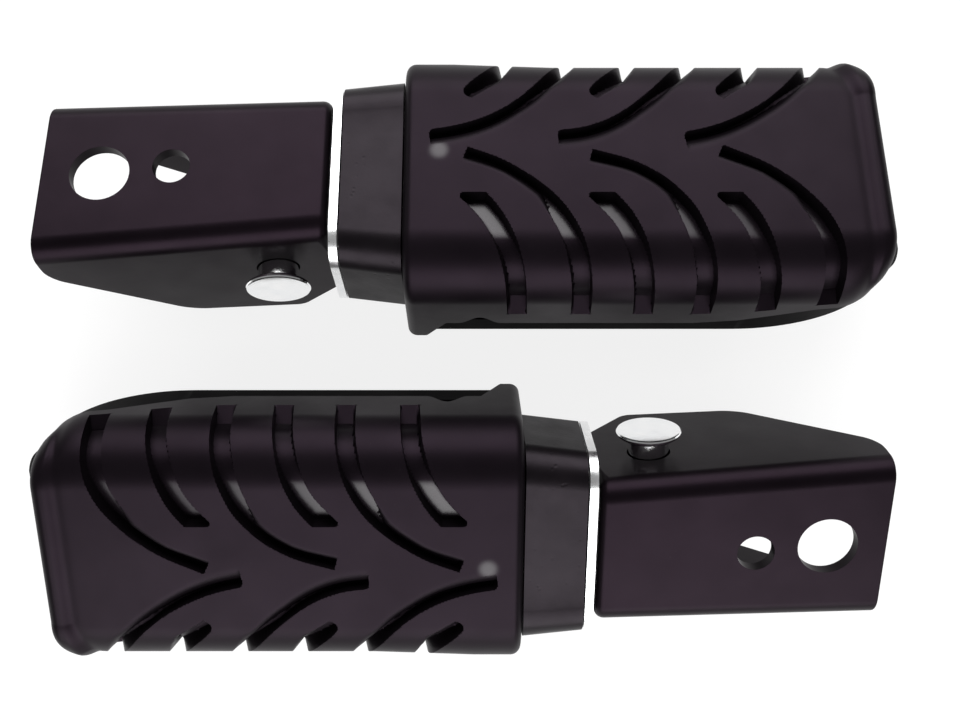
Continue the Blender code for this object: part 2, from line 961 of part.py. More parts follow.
# Putting one peg together
def rest_height(bracket):
    # Height of the pin when the bracket's back flange lies on the surface.
    bpy.context.view_layer.update()
    shape = bracket.evaluated_get(bpy.context.evaluated_depsgraph_get())
    tilt = Matrix.Rotation(-roll, 4, "X") @ Matrix.Rotation(sweep, 4, "Z")
    return -min((tilt @ vert.co).z for vert in shape.data.vertices)


def build_peg(side, turn):
    hinge = add_empty(side + "_hinge", None, Matrix.Identity(4))
    bracket = build_bracket(side, hinge)
    height = rest_height(bracket)
    place = Matrix.Rotation(turn, 4, "Z") @ Matrix.Translation((-pin_to_middle, peg_to_middle, height))
    hinge.matrix_local = place @ Matrix.Rotation(-roll, 4, "X") @ Matrix.Rotation(sweep, 4, "Z")
    axis = add_empty(side + "_fold_axis", hinge, Matrix.Identity(4))
    line = add_empty(side + "_peg_line", axis, Matrix.Rotation(-sweep, 4, "Z"))
    build_pin(side, hinge)
    arm = build_arm(side, axis, line)
    build_plate_and_collar(side, axis, line, arm)
    build_rubber(side, line)
    keel = (height - hull_keel_half_width * sin(roll)) / cos(roll)
    build_hull(side, line, arm, keel)


clear_scene()
parts = new_collection("passenger_footpegs")
cutters = new_collection("cutters")
powder_coat = finish("black powder coat", (0.035, 0.033, 0.035), 0.0, 0.45)
cast_black = finish("black painted casting", (0.033, 0.031, 0.033), 0.0, 0.50)
black_rubber = finish("black moulded rubber", (0.030, 0.028, 0.030), 0.0, 0.55)
moulded_black = finish("black moulded plastic", (0.022, 0.020, 0.020), 0.0, 0.50)
zinc = finish("bright zinc plate", (0.80, 0.81, 0.82), 1.0, 0.25)
bare_steel = finish("plain steel", (0.45, 0.45, 0.46), 1.0, 0.40)
bronze = finish("bronze", (0.55, 0.38, 0.20), 1.0, 0.35)
build_peg("left", 0.0)
build_peg("right", pi)
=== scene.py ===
import json
from math import cos, degrees, pi, radians, sin, tan

import bmesh
import bpy
import numpy as np
from mathutils import Matrix, Vector


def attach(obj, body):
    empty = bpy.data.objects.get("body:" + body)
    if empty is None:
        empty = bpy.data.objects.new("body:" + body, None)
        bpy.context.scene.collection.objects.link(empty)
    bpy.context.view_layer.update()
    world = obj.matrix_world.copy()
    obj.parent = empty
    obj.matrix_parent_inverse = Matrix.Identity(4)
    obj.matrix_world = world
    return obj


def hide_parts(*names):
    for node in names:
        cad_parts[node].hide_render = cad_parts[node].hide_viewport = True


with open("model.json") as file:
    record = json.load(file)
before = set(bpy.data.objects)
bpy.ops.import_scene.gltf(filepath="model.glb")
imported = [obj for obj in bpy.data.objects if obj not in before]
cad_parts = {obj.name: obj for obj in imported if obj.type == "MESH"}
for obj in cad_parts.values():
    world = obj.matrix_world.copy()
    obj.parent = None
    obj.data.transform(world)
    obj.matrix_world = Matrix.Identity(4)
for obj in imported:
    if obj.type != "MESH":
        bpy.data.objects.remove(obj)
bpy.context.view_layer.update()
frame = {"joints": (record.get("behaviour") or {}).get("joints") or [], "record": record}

scene = bpy.context.scene
scene.view_settings.view_transform = "Standard"
mm = 0.001
sides = ("left", "right")

# Every piece is modelled in millimetres about its peg's clevis pin:
# x from bracket to tip, y to the back, z out of the web.


def pegPlaces(side):
    joint = next(j for j in frame["joints"] if j["name"] == side + "_fold")
    mount = next(m for m in frame["record"]["mounts"] if m["name"] == side + "_web_face")
    back = Vector(joint["axis"]).normalized()
    out = Vector(mount["axis"]).normalized()
    along = Vector((1 if side == "left" else -1, 0, 0))
    spot = Matrix.Translation(joint["pos_m"])
    size = Matrix.Scale(mm, 4)
    hinge = Matrix((back.cross(out), back, out)).transposed().to_4x4()
    line = Matrix((along, out.cross(along), out)).transposed().to_4x4()
    return {"hinge": spot @ hinge @ size, "line": spot @ line @ size}


places = {side: pegPlaces(side) for side in sides}
sweep = (places["left"]["line"].inverted() @ places["left"]["hinge"]).to_euler().z
print("pegs found, bracket swept by", round(degrees(sweep), 2), "degrees")


# Camera
camera = {
    "lens": 37.5, "sensor": 36.0, "height": 0.2291, "column": 463.5, "row": 359.5, "size": (960, 720),
}


def makeCamera():
    width, height = camera["size"]
    data = bpy.data.cameras.new("camera")
    data.lens = camera["lens"]
    data.sensor_width = camera["sensor"]
    data.shift_x = (width / 2 - camera["column"]) / width
    data.shift_y = (camera["row"] - height / 2) / width
    eye = bpy.data.objects.new("camera", data)
    eye.location = (0, 0, camera["height"])
    scene.collection.objects.link(eye)
    scene.camera = eye


makeCamera()


# Shape helpers
weld = 0.001


def newPlate(corners, lift, steps=8):
    # flat face from (u, v, radius) corners, each rounded by a vertex bevel
    bm = bmesh.new()
    verts = [bm.verts.new(lift(u, v)) for u, v, radius in corners]
    bm.faces.new(verts)
    for vert, (u, v, radius) in zip(verts, corners):
        if radius:
            arms = [edge.other_vert(vert).co - vert.co for edge in vert.link_edges]
            reach = radius / tan(arms[0].angle(arms[1]) / 2)
            bmesh.ops.bevel(
                bm, geom=[vert], offset=reach, offset_type="OFFSET", affect="VERTICES",
                segments=steps, profile=0.5, material=-1,
            )
    return bm


def thicken(bm, step):
    # draws a flat face out into a closed block
    drawn = bmesh.ops.extrude_face_region(bm, geom=bm.faces[:])["geom"]
    bmesh.ops.translate(bm, vec=step, verts=[v for v in drawn if isinstance(v, bmesh.types.BMVert)])
    bmesh.ops.recalc_face_normals(bm, faces=bm.faces)
    return bm


def blockX(corners, start, end, steps=8):
    return thicken(newPlate(corners, lambda u, v: (start, u, v), steps), (end - start, 0, 0))


def blockY(corners, start, end, steps=8):
    return thicken(newPlate(corners, lambda u, v: (u, start, v), steps), (0, end - start, 0))


def blockZ(corners, start, end, steps=8):
    return thicken(newPlate(corners, lambda u, v: (u, v, start), steps), (0, 0, end - start))


def boxCorners(half, low, high, radius=0):
    return [(-half, low, radius), (half, low, radius), (half, high, radius), (-half, high, radius)]


def rod(radius, start, end, axis="Z", centre=(0, 0, 0), facets=48):
    bm = bmesh.new()
    bmesh.ops.create_cone(
        bm, cap_ends=True, segments=facets, radius1=radius, radius2=radius, depth=end - start
    )
    bmesh.ops.translate(bm, vec=(0, 0, (start + end) / 2), verts=bm.verts)
    if axis == "Y":
        bmesh.ops.rotate(bm, matrix=Matrix.Rotation(-pi / 2, 3, "X"), verts=bm.verts)
    if axis == "X":
        bmesh.ops.rotate(bm, matrix=Matrix.Rotation(pi / 2, 3, "Y"), verts=bm.verts)
    bmesh.ops.translate(bm, vec=centre, verts=bm.verts)
    return bm


def turnedShape(profile, closed=False, facets=64):
    # solid of revolution about z from (radius, height) points: a closed line, or from axis to axis
    bm = bmesh.new()
    verts = [bm.verts.new((radius, 0, height)) for radius, height in profile]
    ends = verts[1:] + verts[:1] if closed else verts[1:]
    edges = [bm.edges.new(pair) for pair in zip(verts, ends)]
    bmesh.ops.spin(
        bm, geom=verts + edges, cent=(0, 0, 0), axis=(0, 0, 1), angle=2 * pi, steps=facets,
        use_merge=True,
    )
    bmesh.ops.remove_doubles(bm, verts=bm.verts, dist=weld)
    bmesh.ops.recalc_face_normals(bm, faces=bm.faces)
    return bm


def ringShape(inner, outer, thick, edge):
    # flat ring on z = 0 with its four edges broken
    return turnedShape([
        (inner + edge, 0), (outer - edge, 0), (outer, edge), (outer, thick - edge),
        (outer - edge, thick), (inner + edge, thick), (inner, thick - edge), (inner, edge),
    ], closed=True)


def wireShape(points, radius):
    # round wire along a drawn line
    data = bpy.data.curves.new("wire", "CURVE")
    data.dimensions = "3D"
    data.bevel_depth = radius
    data.bevel_resolution = 3
    data.use_fill_caps = True
    spline = data.splines.new("POLY")
    spline.points.add(len(points) - 1)
    for point, place in zip(spline.points, points):
        point.co = (*place, 1)
    carrier = bpy.data.objects.new("wire", data)
    scene.collection.objects.link(carrier)
    graph = bpy.context.evaluated_depsgraph_get()
    mesh = bpy.data.meshes.new_from_object(carrier.evaluated_get(graph))
    bpy.data.objects.remove(carrier)
    bm = bmesh.new()
    bm.from_mesh(mesh)
    bmesh.ops.remove_doubles(bm, verts=bm.verts, dist=weld)
    bmesh.ops.recalc_face_normals(bm, faces=bm.faces)
    return bm


def asObject(bm):
    mesh = bpy.data.meshes.new("shape")
    bm.to_mesh(mesh)
    bm.free()
    carrier = bpy.data.objects.new("shape", mesh)
    scene.collection.objects.link(carrier)
    return carrier


def carve(bm, tools, operation="DIFFERENCE"):
    # cuts closed tool shapes out of a closed shape, or keeps what they share
    body = asObject(bm)
    cutters = [asObject(tool) for tool in tools]
    for cutter in cutters:
        change = body.modifiers.new("cut", "BOOLEAN")
        change.operation = operation
        change.solver = "EXACT"
        change.object = cutter
    result = bmesh.new()
    result.from_object(body, bpy.context.evaluated_depsgraph_get())
    for thing in [body] + cutters:
        bpy.data.objects.remove(thing)
    bmesh.ops.remove_doubles(result, verts=result.verts, dist=2 * weld)
    return result


def softenEdges(bm, width, steps=3, angle=40, pick=None):
    # rounds the edges that are sharper than the angle
    sharp = [
        edge for edge in bm.edges
        if len(edge.link_faces) == 2 and edge.calc_face_angle(0) > radians(angle)
        and (pick is None or pick(edge))
    ]
    bmesh.ops.bevel(
        bm, geom=sharp, offset=width, offset_type="OFFSET", affect="EDGES", segments=steps,
        profile=0.5, material=-1, clamp_overlap=True,
    )
    return bm


def flatten(bm, angle=0.5):
    # merges coplanar triangles back into whole faces
    bmesh.ops.dissolve_limit(
        bm, angle_limit=radians(angle), use_dissolve_boundaries=False, verts=bm.verts,
        edges=bm.edges, delimit=set(),
    )
    return bm


def placePiece(name, bm, where, body, stands, material, sharp=32, weighted=True):
    # one copy of the shape for each peg, in the world and riding on its body
    local = bpy.data.meshes.new(name)
    bm.to_mesh(local)
    bm.free()
    for side in sides:
        mesh = local.copy()
        mesh.transform(places[side][where])
        mesh.materials.append(material)
        mesh.shade_smooth()
        mesh.set_sharp_from_angle(angle=radians(sharp))
        piece = bpy.data.objects.new(side + "_" + name, mesh)
        scene.collection.objects.link(piece)
        if weighted:
            even = piece.modifiers.new("even normals", "WEIGHTED_NORMAL")
            even.keep_sharp = True
        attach(piece, body if body == "brackets" else side + "_peg")
        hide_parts(*[side + "_" + node for node in stands])
    bpy.data.meshes.remove(local)


# Shared effects
def newGroup(name, inputs, outputs):
    group = bpy.data.node_groups.new(name, "ShaderNodeTree")
    for socket, kind, value in inputs:
        made = group.interface.new_socket(socket, in_out="INPUT", socket_type=kind)
        if value is not None:
            made.default_value = value
    for socket, kind in outputs:
        group.interface.new_socket(socket, in_out="OUTPUT", socket_type=kind)
    return group, group.nodes.new("NodeGroupInput"), group.nodes.new("NodeGroupOutput")


def addNode(tree, kind, values=None, **settings):
    made = tree.nodes.new(kind)
    for key, value in settings.items():
        setattr(made, key, value)
    for key, value in (values or {}).items():
        made.inputs[key].default_value = value
    return made


def makeGrain():
    # fine and coarse relief of a moulded or sprayed skin, as one height
    group, start, end = newGroup(
        "skin grain",
        [
            ("Vector", "NodeSocketVector", None),
            ("Fine Scale", "NodeSocketFloat", 2500.0),
            ("Coarse Scale", "NodeSocketFloat", 500.0),
            ("Coarse Share", "NodeSocketFloat", 0.5),
        ],
        [("Height", "NodeSocketFloat")],
    )
    fine = addNode(group, "ShaderNodeTexNoise", {"Detail": 2.0, "Roughness": 0.6})
    coarse = addNode(group, "ShaderNodeTexNoise", {"Detail": 3.0, "Roughness": 0.5})
    mix = addNode(group, "ShaderNodeMix")
    link = group.links.new
    link(start.outputs["Vector"], fine.inputs["Vector"])
    link(start.outputs["Vector"], coarse.inputs["Vector"])
    link(start.outputs["Fine Scale"], fine.inputs["Scale"])
    link(start.outputs["Coarse Scale"], coarse.inputs["Scale"])
    link(start.outputs["Coarse Share"], mix.inputs["Factor"])
    link(fine.outputs["Fac"], mix.inputs["A"])
    link(coarse.outputs["Fac"], mix.inputs["B"])
    link(mix.outputs["Result"], end.inputs["Height"])
    return group


def makeDrift():
    # slow change of tone over a surface, between a low and a high value
    group, start, end = newGroup(
        "slow drift",
        [
            ("Vector", "NodeSocketVector", None),
            ("Scale", "NodeSocketFloat", 60.0),
            ("Low", "NodeSocketFloat", 0.0),
            ("High", "NodeSocketFloat", 1.0),
        ],
        [("Value", "NodeSocketFloat")],
    )
    noise = addNode(group, "ShaderNodeTexNoise", {"Detail": 4.0, "Roughness": 0.55})
    spread = addNode(group, "ShaderNodeMapRange", {"From Min": 0.3, "From Max": 0.7})
    link = group.links.new
    link(start.outputs["Vector"], noise.inputs["Vector"])
    link(start.outputs["Scale"], noise.inputs["Scale"])
    link(noise.outputs["Fac"], spread.inputs["Value"])
    link(start.outputs["Low"], spread.inputs["To Min"])
    link(start.outputs["High"], spread.inputs["To Max"])
    link(spread.outputs["Result"], end.inputs["Value"])
    return group


def makeSpecks():
    # scattered small marks: pits, dust or rubbed spots, as a mask
    group, start, end = newGroup(
        "scattered specks",
        [
            ("Vector", "NodeSocketVector", None),
            ("Scale", "NodeSocketFloat", 400.0),
            ("Size", "NodeSocketFloat", 0.12),
            ("Share", "NodeSocketFloat", 0.5),
        ],
        [("Mask", "NodeSocketFloat")],
    )
    cells = addNode(group, "ShaderNodeTexVoronoi", {"Randomness": 1.0})
    near = addNode(group, "ShaderNodeMapRange", {"To Min": 1.0, "To Max": 0.0})
    patches = addNode(group, "ShaderNodeTexNoise", {"Detail": 2.0})
    divide = addNode(group, "ShaderNodeMath", {1: 9.0}, operation="DIVIDE")
    chosen = addNode(group, "ShaderNodeMath", operation="GREATER_THAN")
    mask = addNode(group, "ShaderNodeMath", operation="MULTIPLY")
    link = group.links.new
    link(start.outputs["Vector"], cells.inputs["Vector"])
    link(start.outputs["Vector"], patches.inputs["Vector"])
    link(start.outputs["Scale"], cells.inputs["Scale"])
    link(start.outputs["Scale"], divide.inputs[0])
    link(divide.outputs["Value"], patches.inputs["Scale"])
    link(cells.outputs["Distance"], near.inputs["Value"])
    link(start.outputs["Size"], near.inputs["From Max"])
    link(patches.outputs["Fac"], chosen.inputs[0])
    link(start.outputs["Share"], chosen.inputs[1])
    link(near.outputs["Result"], mask.inputs[0])
    link(chosen.outputs["Value"], mask.inputs[1])
    link(mask.outputs["Value"], end.inputs["Mask"])
    return group


grainGroup = makeGrain()
driftGroup = makeDrift()
specksGroup = makeSpecks()


def placeGroup(tree, group, place, values):
    made = tree.nodes.new("ShaderNodeGroup")
    made.node_tree = group
    tree.links.new(place, made.inputs["Vector"])
    for key, value in values.items():
        made.inputs[key].default_value = value
    return made


def makeFinish(name, look):
    # satin skin: drifting tone and sheen, small marks and a fine relief
    material = bpy.data.materials.new(name)
    material.use_nodes = True
    tree = material.node_tree
    shader = tree.nodes["Principled BSDF"]
    shader.inputs["Metallic"].default_value = look["metallic"]
    shader.inputs["IOR"].default_value = look["ior"]
    shader.inputs["Specular Tint"].default_value = (*look["tint"], 1)
    place = tree.nodes.new("ShaderNodeTexCoord").outputs["Object"]
    drift = placeGroup(tree, driftGroup, place, {"Scale": look["tone"]})
    sheen = placeGroup(tree, driftGroup, place, look["sheen"])
    specks = placeGroup(tree, specksGroup, place, look["specks"])
    grain = placeGroup(tree, grainGroup, place, look["grain"])
    colour = addNode(tree, "ShaderNodeMix", data_type="RGBA")
    colour.inputs["A"].default_value = (*look["dark"], 1)
    colour.inputs["B"].default_value = (*look["pale"], 1)
    marked = addNode(tree, "ShaderNodeMix", data_type="RGBA")
    marked.inputs["B"].default_value = (*look["mark"], 1)
    relief = addNode(tree, "ShaderNodeMath", {1: look["pitDepth"]}, operation="MULTIPLY_ADD")
    bump = addNode(
        tree, "ShaderNodeBump", {"Strength": look["strength"], "Distance": look["distance"]}
    )
    link = tree.links.new
    link(drift.outputs["Value"], colour.inputs["Factor"])
    link(colour.outputs["Result"], marked.inputs["A"])
    link(specks.outputs["Mask"], marked.inputs["Factor"])
    link(marked.outputs["Result"], shader.inputs["Base Color"])
    link(sheen.outputs["Value"], shader.inputs["Roughness"])
    link(specks.outputs["Mask"], relief.inputs[0])
    link(grain.outputs["Height"], relief.inputs[2])
    link(relief.outputs["Value"], bump.inputs["Height"])
    link(bump.outputs["Normal"], shader.inputs["Normal"])
    if "polish" in look:
        mask = addNode(tree, "ShaderNodeAttribute", attribute_name="polish")
        link(mask.outputs["Fac"], shader.inputs["Coat Weight"])
        shader.inputs["Coat Roughness"].default_value = look["polish"]["roughness"]
        shader.inputs["Coat IOR"].default_value = look["polish"]["ior"]
    material.diffuse_color = (*look["dark"], 1)
    return material


powderCoat = makeFinish("powder coat", {
    "metallic": 0.0, "ior": 1.19, "tint": (1.0, 0.66, 0.95),
    "dark": (0.0014, 0.001, 0.0013), "pale": (0.0024, 0.0017, 0.0023), "mark": (0.016, 0.013, 0.015),
    "tone": 70.0,
    "sheen": {"Scale": 120.0, "Low": 0.34, "High": 0.41},
    "specks": {"Scale": 420.0, "Size": 0.1, "Share": 0.6},
    "grain": {"Fine Scale": 2600.0, "Coarse Scale": 700.0, "Coarse Share": 0.6},
    "pitDepth": -0.3, "strength": 0.25, "distance": 0.00006,
})
castPaint = makeFinish("painted casting", {
    "metallic": 0.0, "ior": 1.24, "tint": (1.0, 0.84, 0.99),
    "dark": (0.0013, 0.001, 0.0013), "pale": (0.0028, 0.0022, 0.0027), "mark": (0.001, 0.001, 0.001),
    "tone": 110.0,
    "sheen": {"Scale": 200.0, "Low": 0.32, "High": 0.42},
    "specks": {"Scale": 520.0, "Size": 0.22, "Share": 0.54},
    "grain": {"Fine Scale": 1800.0, "Coarse Scale": 420.0, "Coarse Share": 0.7},
    "pitDepth": -1.2, "strength": 0.35, "distance": 0.0001,
})
treadRubber = makeFinish("tread rubber", {
    "metallic": 0.0, "ior": 1.19, "tint": (1.0, 0.7, 0.98),
    "dark": (0.002, 0.0015, 0.002), "pale": (0.0034, 0.0026, 0.0034), "mark": (0.02, 0.018, 0.02),
    "tone": 55.0,
    "sheen": {"Scale": 90.0, "Low": 0.37, "High": 0.45},
    "specks": {"Scale": 380.0, "Size": 0.06, "Share": 0.62},
    "grain": {"Fine Scale": 3000.0, "Coarse Scale": 600.0, "Coarse Share": 0.45},
    "pitDepth": 0.3, "strength": 0.25, "distance": 0.00006,
    "polish": {"roughness": 0.22, "ior": 1.42},
})
hullPlastic = makeFinish("hull plastic", {
    "metallic": 0.0, "ior": 1.05, "tint": (1.0, 0.85, 0.98),
    "dark": (0.001, 0.0008, 0.001), "pale": (0.0018, 0.0015, 0.0018), "mark": (0.012, 0.011, 0.012),
    "tone": 60.0,
    "sheen": {"Scale": 80.0, "Low": 0.44, "High": 0.54},
    "specks": {"Scale": 300.0, "Size": 0.05, "Share": 0.62},
    "grain": {"Fine Scale": 2200.0, "Coarse Scale": 900.0, "Coarse Share": 0.5},
    "pitDepth": -0.2, "strength": 0.3, "distance": 0.00008,
})
bareMetal = {"metallic": 1.0, "ior": 1.45, "tint": (1.0, 1.0, 1.0)}
zincLook = bareMetal | {
    "dark": (0.93, 0.94, 0.95), "pale": (0.98, 0.98, 0.98), "mark": (0.78, 0.78, 0.79),
    "tone": 300.0,
    "sheen": {"Scale": 400.0, "Low": 0.1, "High": 0.18},
    "specks": {"Scale": 700.0, "Size": 0.1, "Share": 0.55},
    "grain": {"Fine Scale": 2600.0, "Coarse Scale": 700.0, "Coarse Share": 0.5},
    "pitDepth": -0.5, "strength": 0.15, "distance": 0.00004,
}
brightZinc = makeFinish("bright zinc", zincLook)
satinZinc = makeFinish("satin zinc", zincLook | {"sheen": {"Scale": 400.0, "Low": 0.24, "High": 0.34}})
plainSteel = makeFinish("plain steel", bareMetal | {
    "dark": (0.33, 0.33, 0.34), "pale": (0.48, 0.48, 0.49), "mark": (0.16, 0.13, 0.11),
    "tone": 180.0,
    "sheen": {"Scale": 220.0, "Low": 0.34, "High": 0.52},
    "specks": {"Scale": 500.0, "Size": 0.16, "Share": 0.56},
    "grain": {"Fine Scale": 2200.0, "Coarse Scale": 500.0, "Coarse Share": 0.6},
    "pitDepth": -0.6, "strength": 0.3, "distance": 0.00008,
})
oiledBronze = makeFinish("oiled bronze", bareMetal | {
    "dark": (0.42, 0.27, 0.13), "pale": (0.6, 0.42, 0.22), "mark": (0.14, 0.09, 0.05),
    "tone": 260.0,
    "sheen": {"Scale": 300.0, "Low": 0.26, "High": 0.42},
    "specks": {"Scale": 800.0, "Size": 0.2, "Share": 0.5},
    "grain": {"Fine Scale": 3000.0, "Coarse Scale": 800.0, "Coarse Share": 0.5},
    "pitDepth": -0.5, "strength": 0.2, "distance": 0.00005,
})
print("finishes mixed")


# Bracket
bracket = {
    "webTop": 13.9, "sheet": 2.5, "bendRadius": 4.2, "innerRadius": 1.7,
    "hingeHalf": 15.2, "freeHalf": 16.8, "hingeEnd": 12.0, "freeEnd": 43.2,
    "freeDepth": 10.6, "slope": (20.5, 31.3), "corner": (3.2, 33.7), "cornerHeight": 11.0,
    # the flanges' corner radii, from the free end round to the hinge end
    "flangeRadii": (7.0, 10.0, 3.0, 4.0),
    "boltHole": (31.9, 0.0, 5.75), "locatingHole": (18.2, 0.7, 3.6), "pinHole": 4.3,
    "rimRadius": 0.45, "endRadius": 1.8, "freeRadius": 1.0,
    # line that the back flange's sloped edge is cut back to, in (x, z)
    "backSlope": ((-48.0, 8.7), (-15.0, -17.4)), "backSlopeInner": 6.0,
    "past": 5.0, "sheetBottom": -30.0, "cutBottom": -40.0, "outward": 0.05, "slack": 0.01,
}


def makeBracket():
    b = bracket
    top = b["webTop"]
    inner = top - b["sheet"]
    half = b["hingeHalf"]
    hollow = half - b["sheet"]
    past, bottom = b["past"], b["sheetBottom"]
    reach = b["freeHalf"] + past
    freeRadius, slopeRadius, lowRadius, hingeRadius = b["flangeRadii"]
    bm = blockX(
        [
            (-half, bottom, 0), (-half, top, b["bendRadius"]), (half, top, b["bendRadius"]),
            (half, bottom, 0), (hollow, bottom, 0), (hollow, inner, b["innerRadius"]),
            (-hollow, inner, b["innerRadius"]), (-hollow, bottom, 0),
        ],
        -b["freeEnd"] - past, b["hingeEnd"] + past,
    )
    flare = (b["freeHalf"] - half) / (b["freeEnd"] + b["hingeEnd"])
    for vert in bm.verts:
        shift = flare * (b["hingeEnd"] - vert.co.x)
        vert.co.y += shift if vert.co.y > 0 else -shift
    blank = blockY(
        [
            (-b["freeEnd"], top + past, 0), (-b["freeEnd"], top - b["freeDepth"], freeRadius),
            (-b["slope"][0], top - b["slope"][1], slopeRadius),
            (b["corner"][0], top - b["corner"][1], lowRadius),
            (b["hingeEnd"], -b["cornerHeight"], hingeRadius), (b["hingeEnd"], top + past, 0),
        ],
        -reach, reach,
    )
    for vert in blank.verts:
        vert.co.x += vert.co.y * tan(sweep)  # the ends stand square to the peg
    bm = carve(bm, [blank], "INTERSECT")
    drills = b["boltHole"], b["locatingHole"]
    holes = [rod(radius, 0, top + past, centre=(-x, y, 0)) for x, y, radius in drills]
    holes.append(rod(b["pinHole"], -reach, reach, "Y"))
    (farX, farZ), (nearX, nearZ) = b["backSlope"]
    low = b["cutBottom"]
    holes.append(blockY(
        [(farX, farZ, 0), (nearX, nearZ, 0), (nearX, low, 0), (farX, low, 0)],
        b["backSlopeInner"], reach,
    ))
    bm = flatten(carve(bm, holes))

    def outerEnd(edge, sign, limit):
        # an edge of the outer skin at one end of the channel
        outward = any(face.normal.z > b["outward"] for face in edge.link_faces)
        along = min(sign * (vert.co.x - vert.co.y * tan(sweep)) for vert in edge.verts)
        return outward and along > limit - b["slack"]

    bm.normal_update()
    softenEdges(bm, b["endRadius"], 5, pick=lambda edge: outerEnd(edge, 1, b["hingeEnd"]))
    bm.normal_update()
    softenEdges(bm, b["freeRadius"], 4, pick=lambda edge: outerEnd(edge, -1, b["freeEnd"]))
    softenEdges(bm, b["rimRadius"])
    placePiece("channel", bm, "hinge", "brackets", ["bracket"], powderCoat)


makeBracket()
print("brackets bent and drilled")


# Clevis pin and split pin
pin = {
    "radius": 4.0, "headRadius": 6.4, "headThick": 1.5, "headBack": 18.89, "tail": -20.27,
    "bore": 4.3, "washerRadius": 7.5, "washerThick": 1.2, "washerSeat": 16.07, "splitSeat": 18.77,
    # (radius, height) steps from the head's rim, from its back face and from the tail's end
    "dome": (3.0, 0.03), "headEdge": ((-0.5, 0), (-0.15, -0.1), (0, -0.35), (-0.1, -0.75)),
    "headHeel": ((-0.8, 0.2), (-1.2, 0)), "neck": 0.35, "tailEdge": ((0, 1.0), (-0.3, 0.4), (-0.9, 0)),
    "washerEdge": 0.2, "splitHole": 0.9, "splitFacets": 24, "wire": 0.36, "eye": 1.7, "legs": 5.7,
    # the split pin's spread ends past its legs, the start of its eye and the eye's opening
    "spread": ((2.0, 1.7), (0.7, 0.6), (-0.3, 0)), "eyeRun": 1.0, "eyeOpening": 24, "eyeSteps": 14,
}


def faceFront(bm, shift=0.0):
    # lays a turned shape on the fold axis, its z to the peg's front
    bmesh.ops.rotate(bm, matrix=Matrix.Rotation(pi / 2, 3, "X"), verts=bm.verts)
    bmesh.ops.translate(bm, vec=(0, shift, 0), verts=bm.verts)
    return bm


def splitPin():
    # two thin wires side by side through the pin, joined by the eye, their ends spread
    p = pin
    wire, eye, legs = p["wire"], p["eye"], p["legs"]
    opening, steps = p["eyeOpening"], p["eyeSteps"]
    leg = [(legs + out, wire + rise) for out, rise in p["spread"]] + [(-legs + p["eyeRun"], wire)]
    line = list(leg)
    for step in range(steps + 1):
        angle = radians(opening + (360 - 2 * opening) * step / steps)
        line.append((-legs - eye + eye * cos(angle), eye * sin(angle)))
    line += [(x, -z) for x, z in reversed(leg)]
    return wireShape([(x, p["splitSeat"], z) for x, z in line], wire)


def makePins():
    p = pin
    back = p["headBack"]
    face = back + p["headThick"]
    tail = p["tail"]
    rim, shank, neck = p["headRadius"], p["radius"], p["neck"]
    domeRadius, domeRise = p["dome"]
    profile = [(0, face + domeRise), (domeRadius, face + domeRise)]
    profile += [(rim + out, face + up) for out, up in p["headEdge"]]
    profile += [(rim + out, back + up) for out, up in p["headHeel"]]
    profile += [(shank + neck, back), (shank, back - neck)]
    profile += [(shank + out, tail + up) for out, up in p["tailEdge"]]
    bm = faceFront(turnedShape(profile + [(0, tail)]))
    bore = rod(p["splitHole"], -2 * shank, 2 * shank, "X", (0, p["splitSeat"], 0), p["splitFacets"])
    bm = carve(bm, [bore])
    placePiece("clevis_pin", bm, "hinge", "brackets", ["hinge_pin"], brightZinc)
    washer = ringShape(p["bore"], p["washerRadius"], p["washerThick"], p["washerEdge"])
    faceFront(washer, p["washerSeat"] + p["washerThick"])
    placePiece("washer", washer, "hinge", "brackets", ["pin_washer"], brightZinc)
    placePiece("retainer", splitPin(), "hinge", "brackets", ["split_pin"], brightZinc)


makePins()
print("pins turned")


# Face plate and collar, which share one outline
collar = {
    "halfWidth": 19.2, "bottom": -9.0, "top": 13.6, "topRadius": 6.0, "bottomRadius": 2.5,
    "plateFront": 12.5, "plateBack": 14.1, "front": 14.4, "back": 26.2, "flare": 1.5,
    "slotInner": 12.1, "slotOuter": 16.75, "slotTop": 10.4, "slotReach": 20.8, "slotBottom": -20.0,
    "barHalf": 9.8, "barBottom": -5.2, "barTop": 5.8, "barEdge": 1.0, "barFrom": 5.0, "barTo": 40.0,
    "pinX": 22.5, "pinHole": 2.3, "pinTop": 3.3, "pinBottom": -20.0,
    "crown": 1.9, "crownStart": 10.0, "crownRadius": 40.0,
    "cornerSteps": 12, "plateEdge": 0.3, "castEdge": 0.5,
}


def collarBlock(start, end, crown=0.0):
    # the shared outline; the casting's top rises to the back by its crown
    c = collar
    half = c["halfWidth"]
    top = [(half, c["top"] + crown, c["topRadius"])]
    if crown:
        top.append((c["crownStart"], c["top"], c["crownRadius"]))
    top.append((-half, c["top"], c["topRadius"]))
    return blockX(
        [(-half, c["bottom"], c["bottomRadius"]), (half, c["bottom"], c["bottomRadius"])] + top,
        start, end, c["cornerSteps"],
    )


def barRoom(start, end):
    c = collar
    return blockX(boxCorners(c["barHalf"], c["barBottom"], c["barTop"], c["barEdge"]), start, end)


def collarTools():
    # room for the flanges, which stand at the bracket's own angle, and for the bar
    c = collar
    tools = []
    for sign in (-1, 1):
        inner, outer, reach = sign * c["slotInner"], sign * c["slotOuter"], c["slotReach"]
        slot = blockZ(
            [(0, inner, 0), (reach, inner, 0), (reach, outer, 0), (0, outer, 0)],
            c["slotBottom"], c["slotTop"],
        )
        bmesh.ops.rotate(slot, matrix=Matrix.Rotation(sweep, 3, "Z"), verts=slot.verts)
        tools.append(slot)
    tools.append(barRoom(c["barFrom"], c["barTo"]))
    return tools


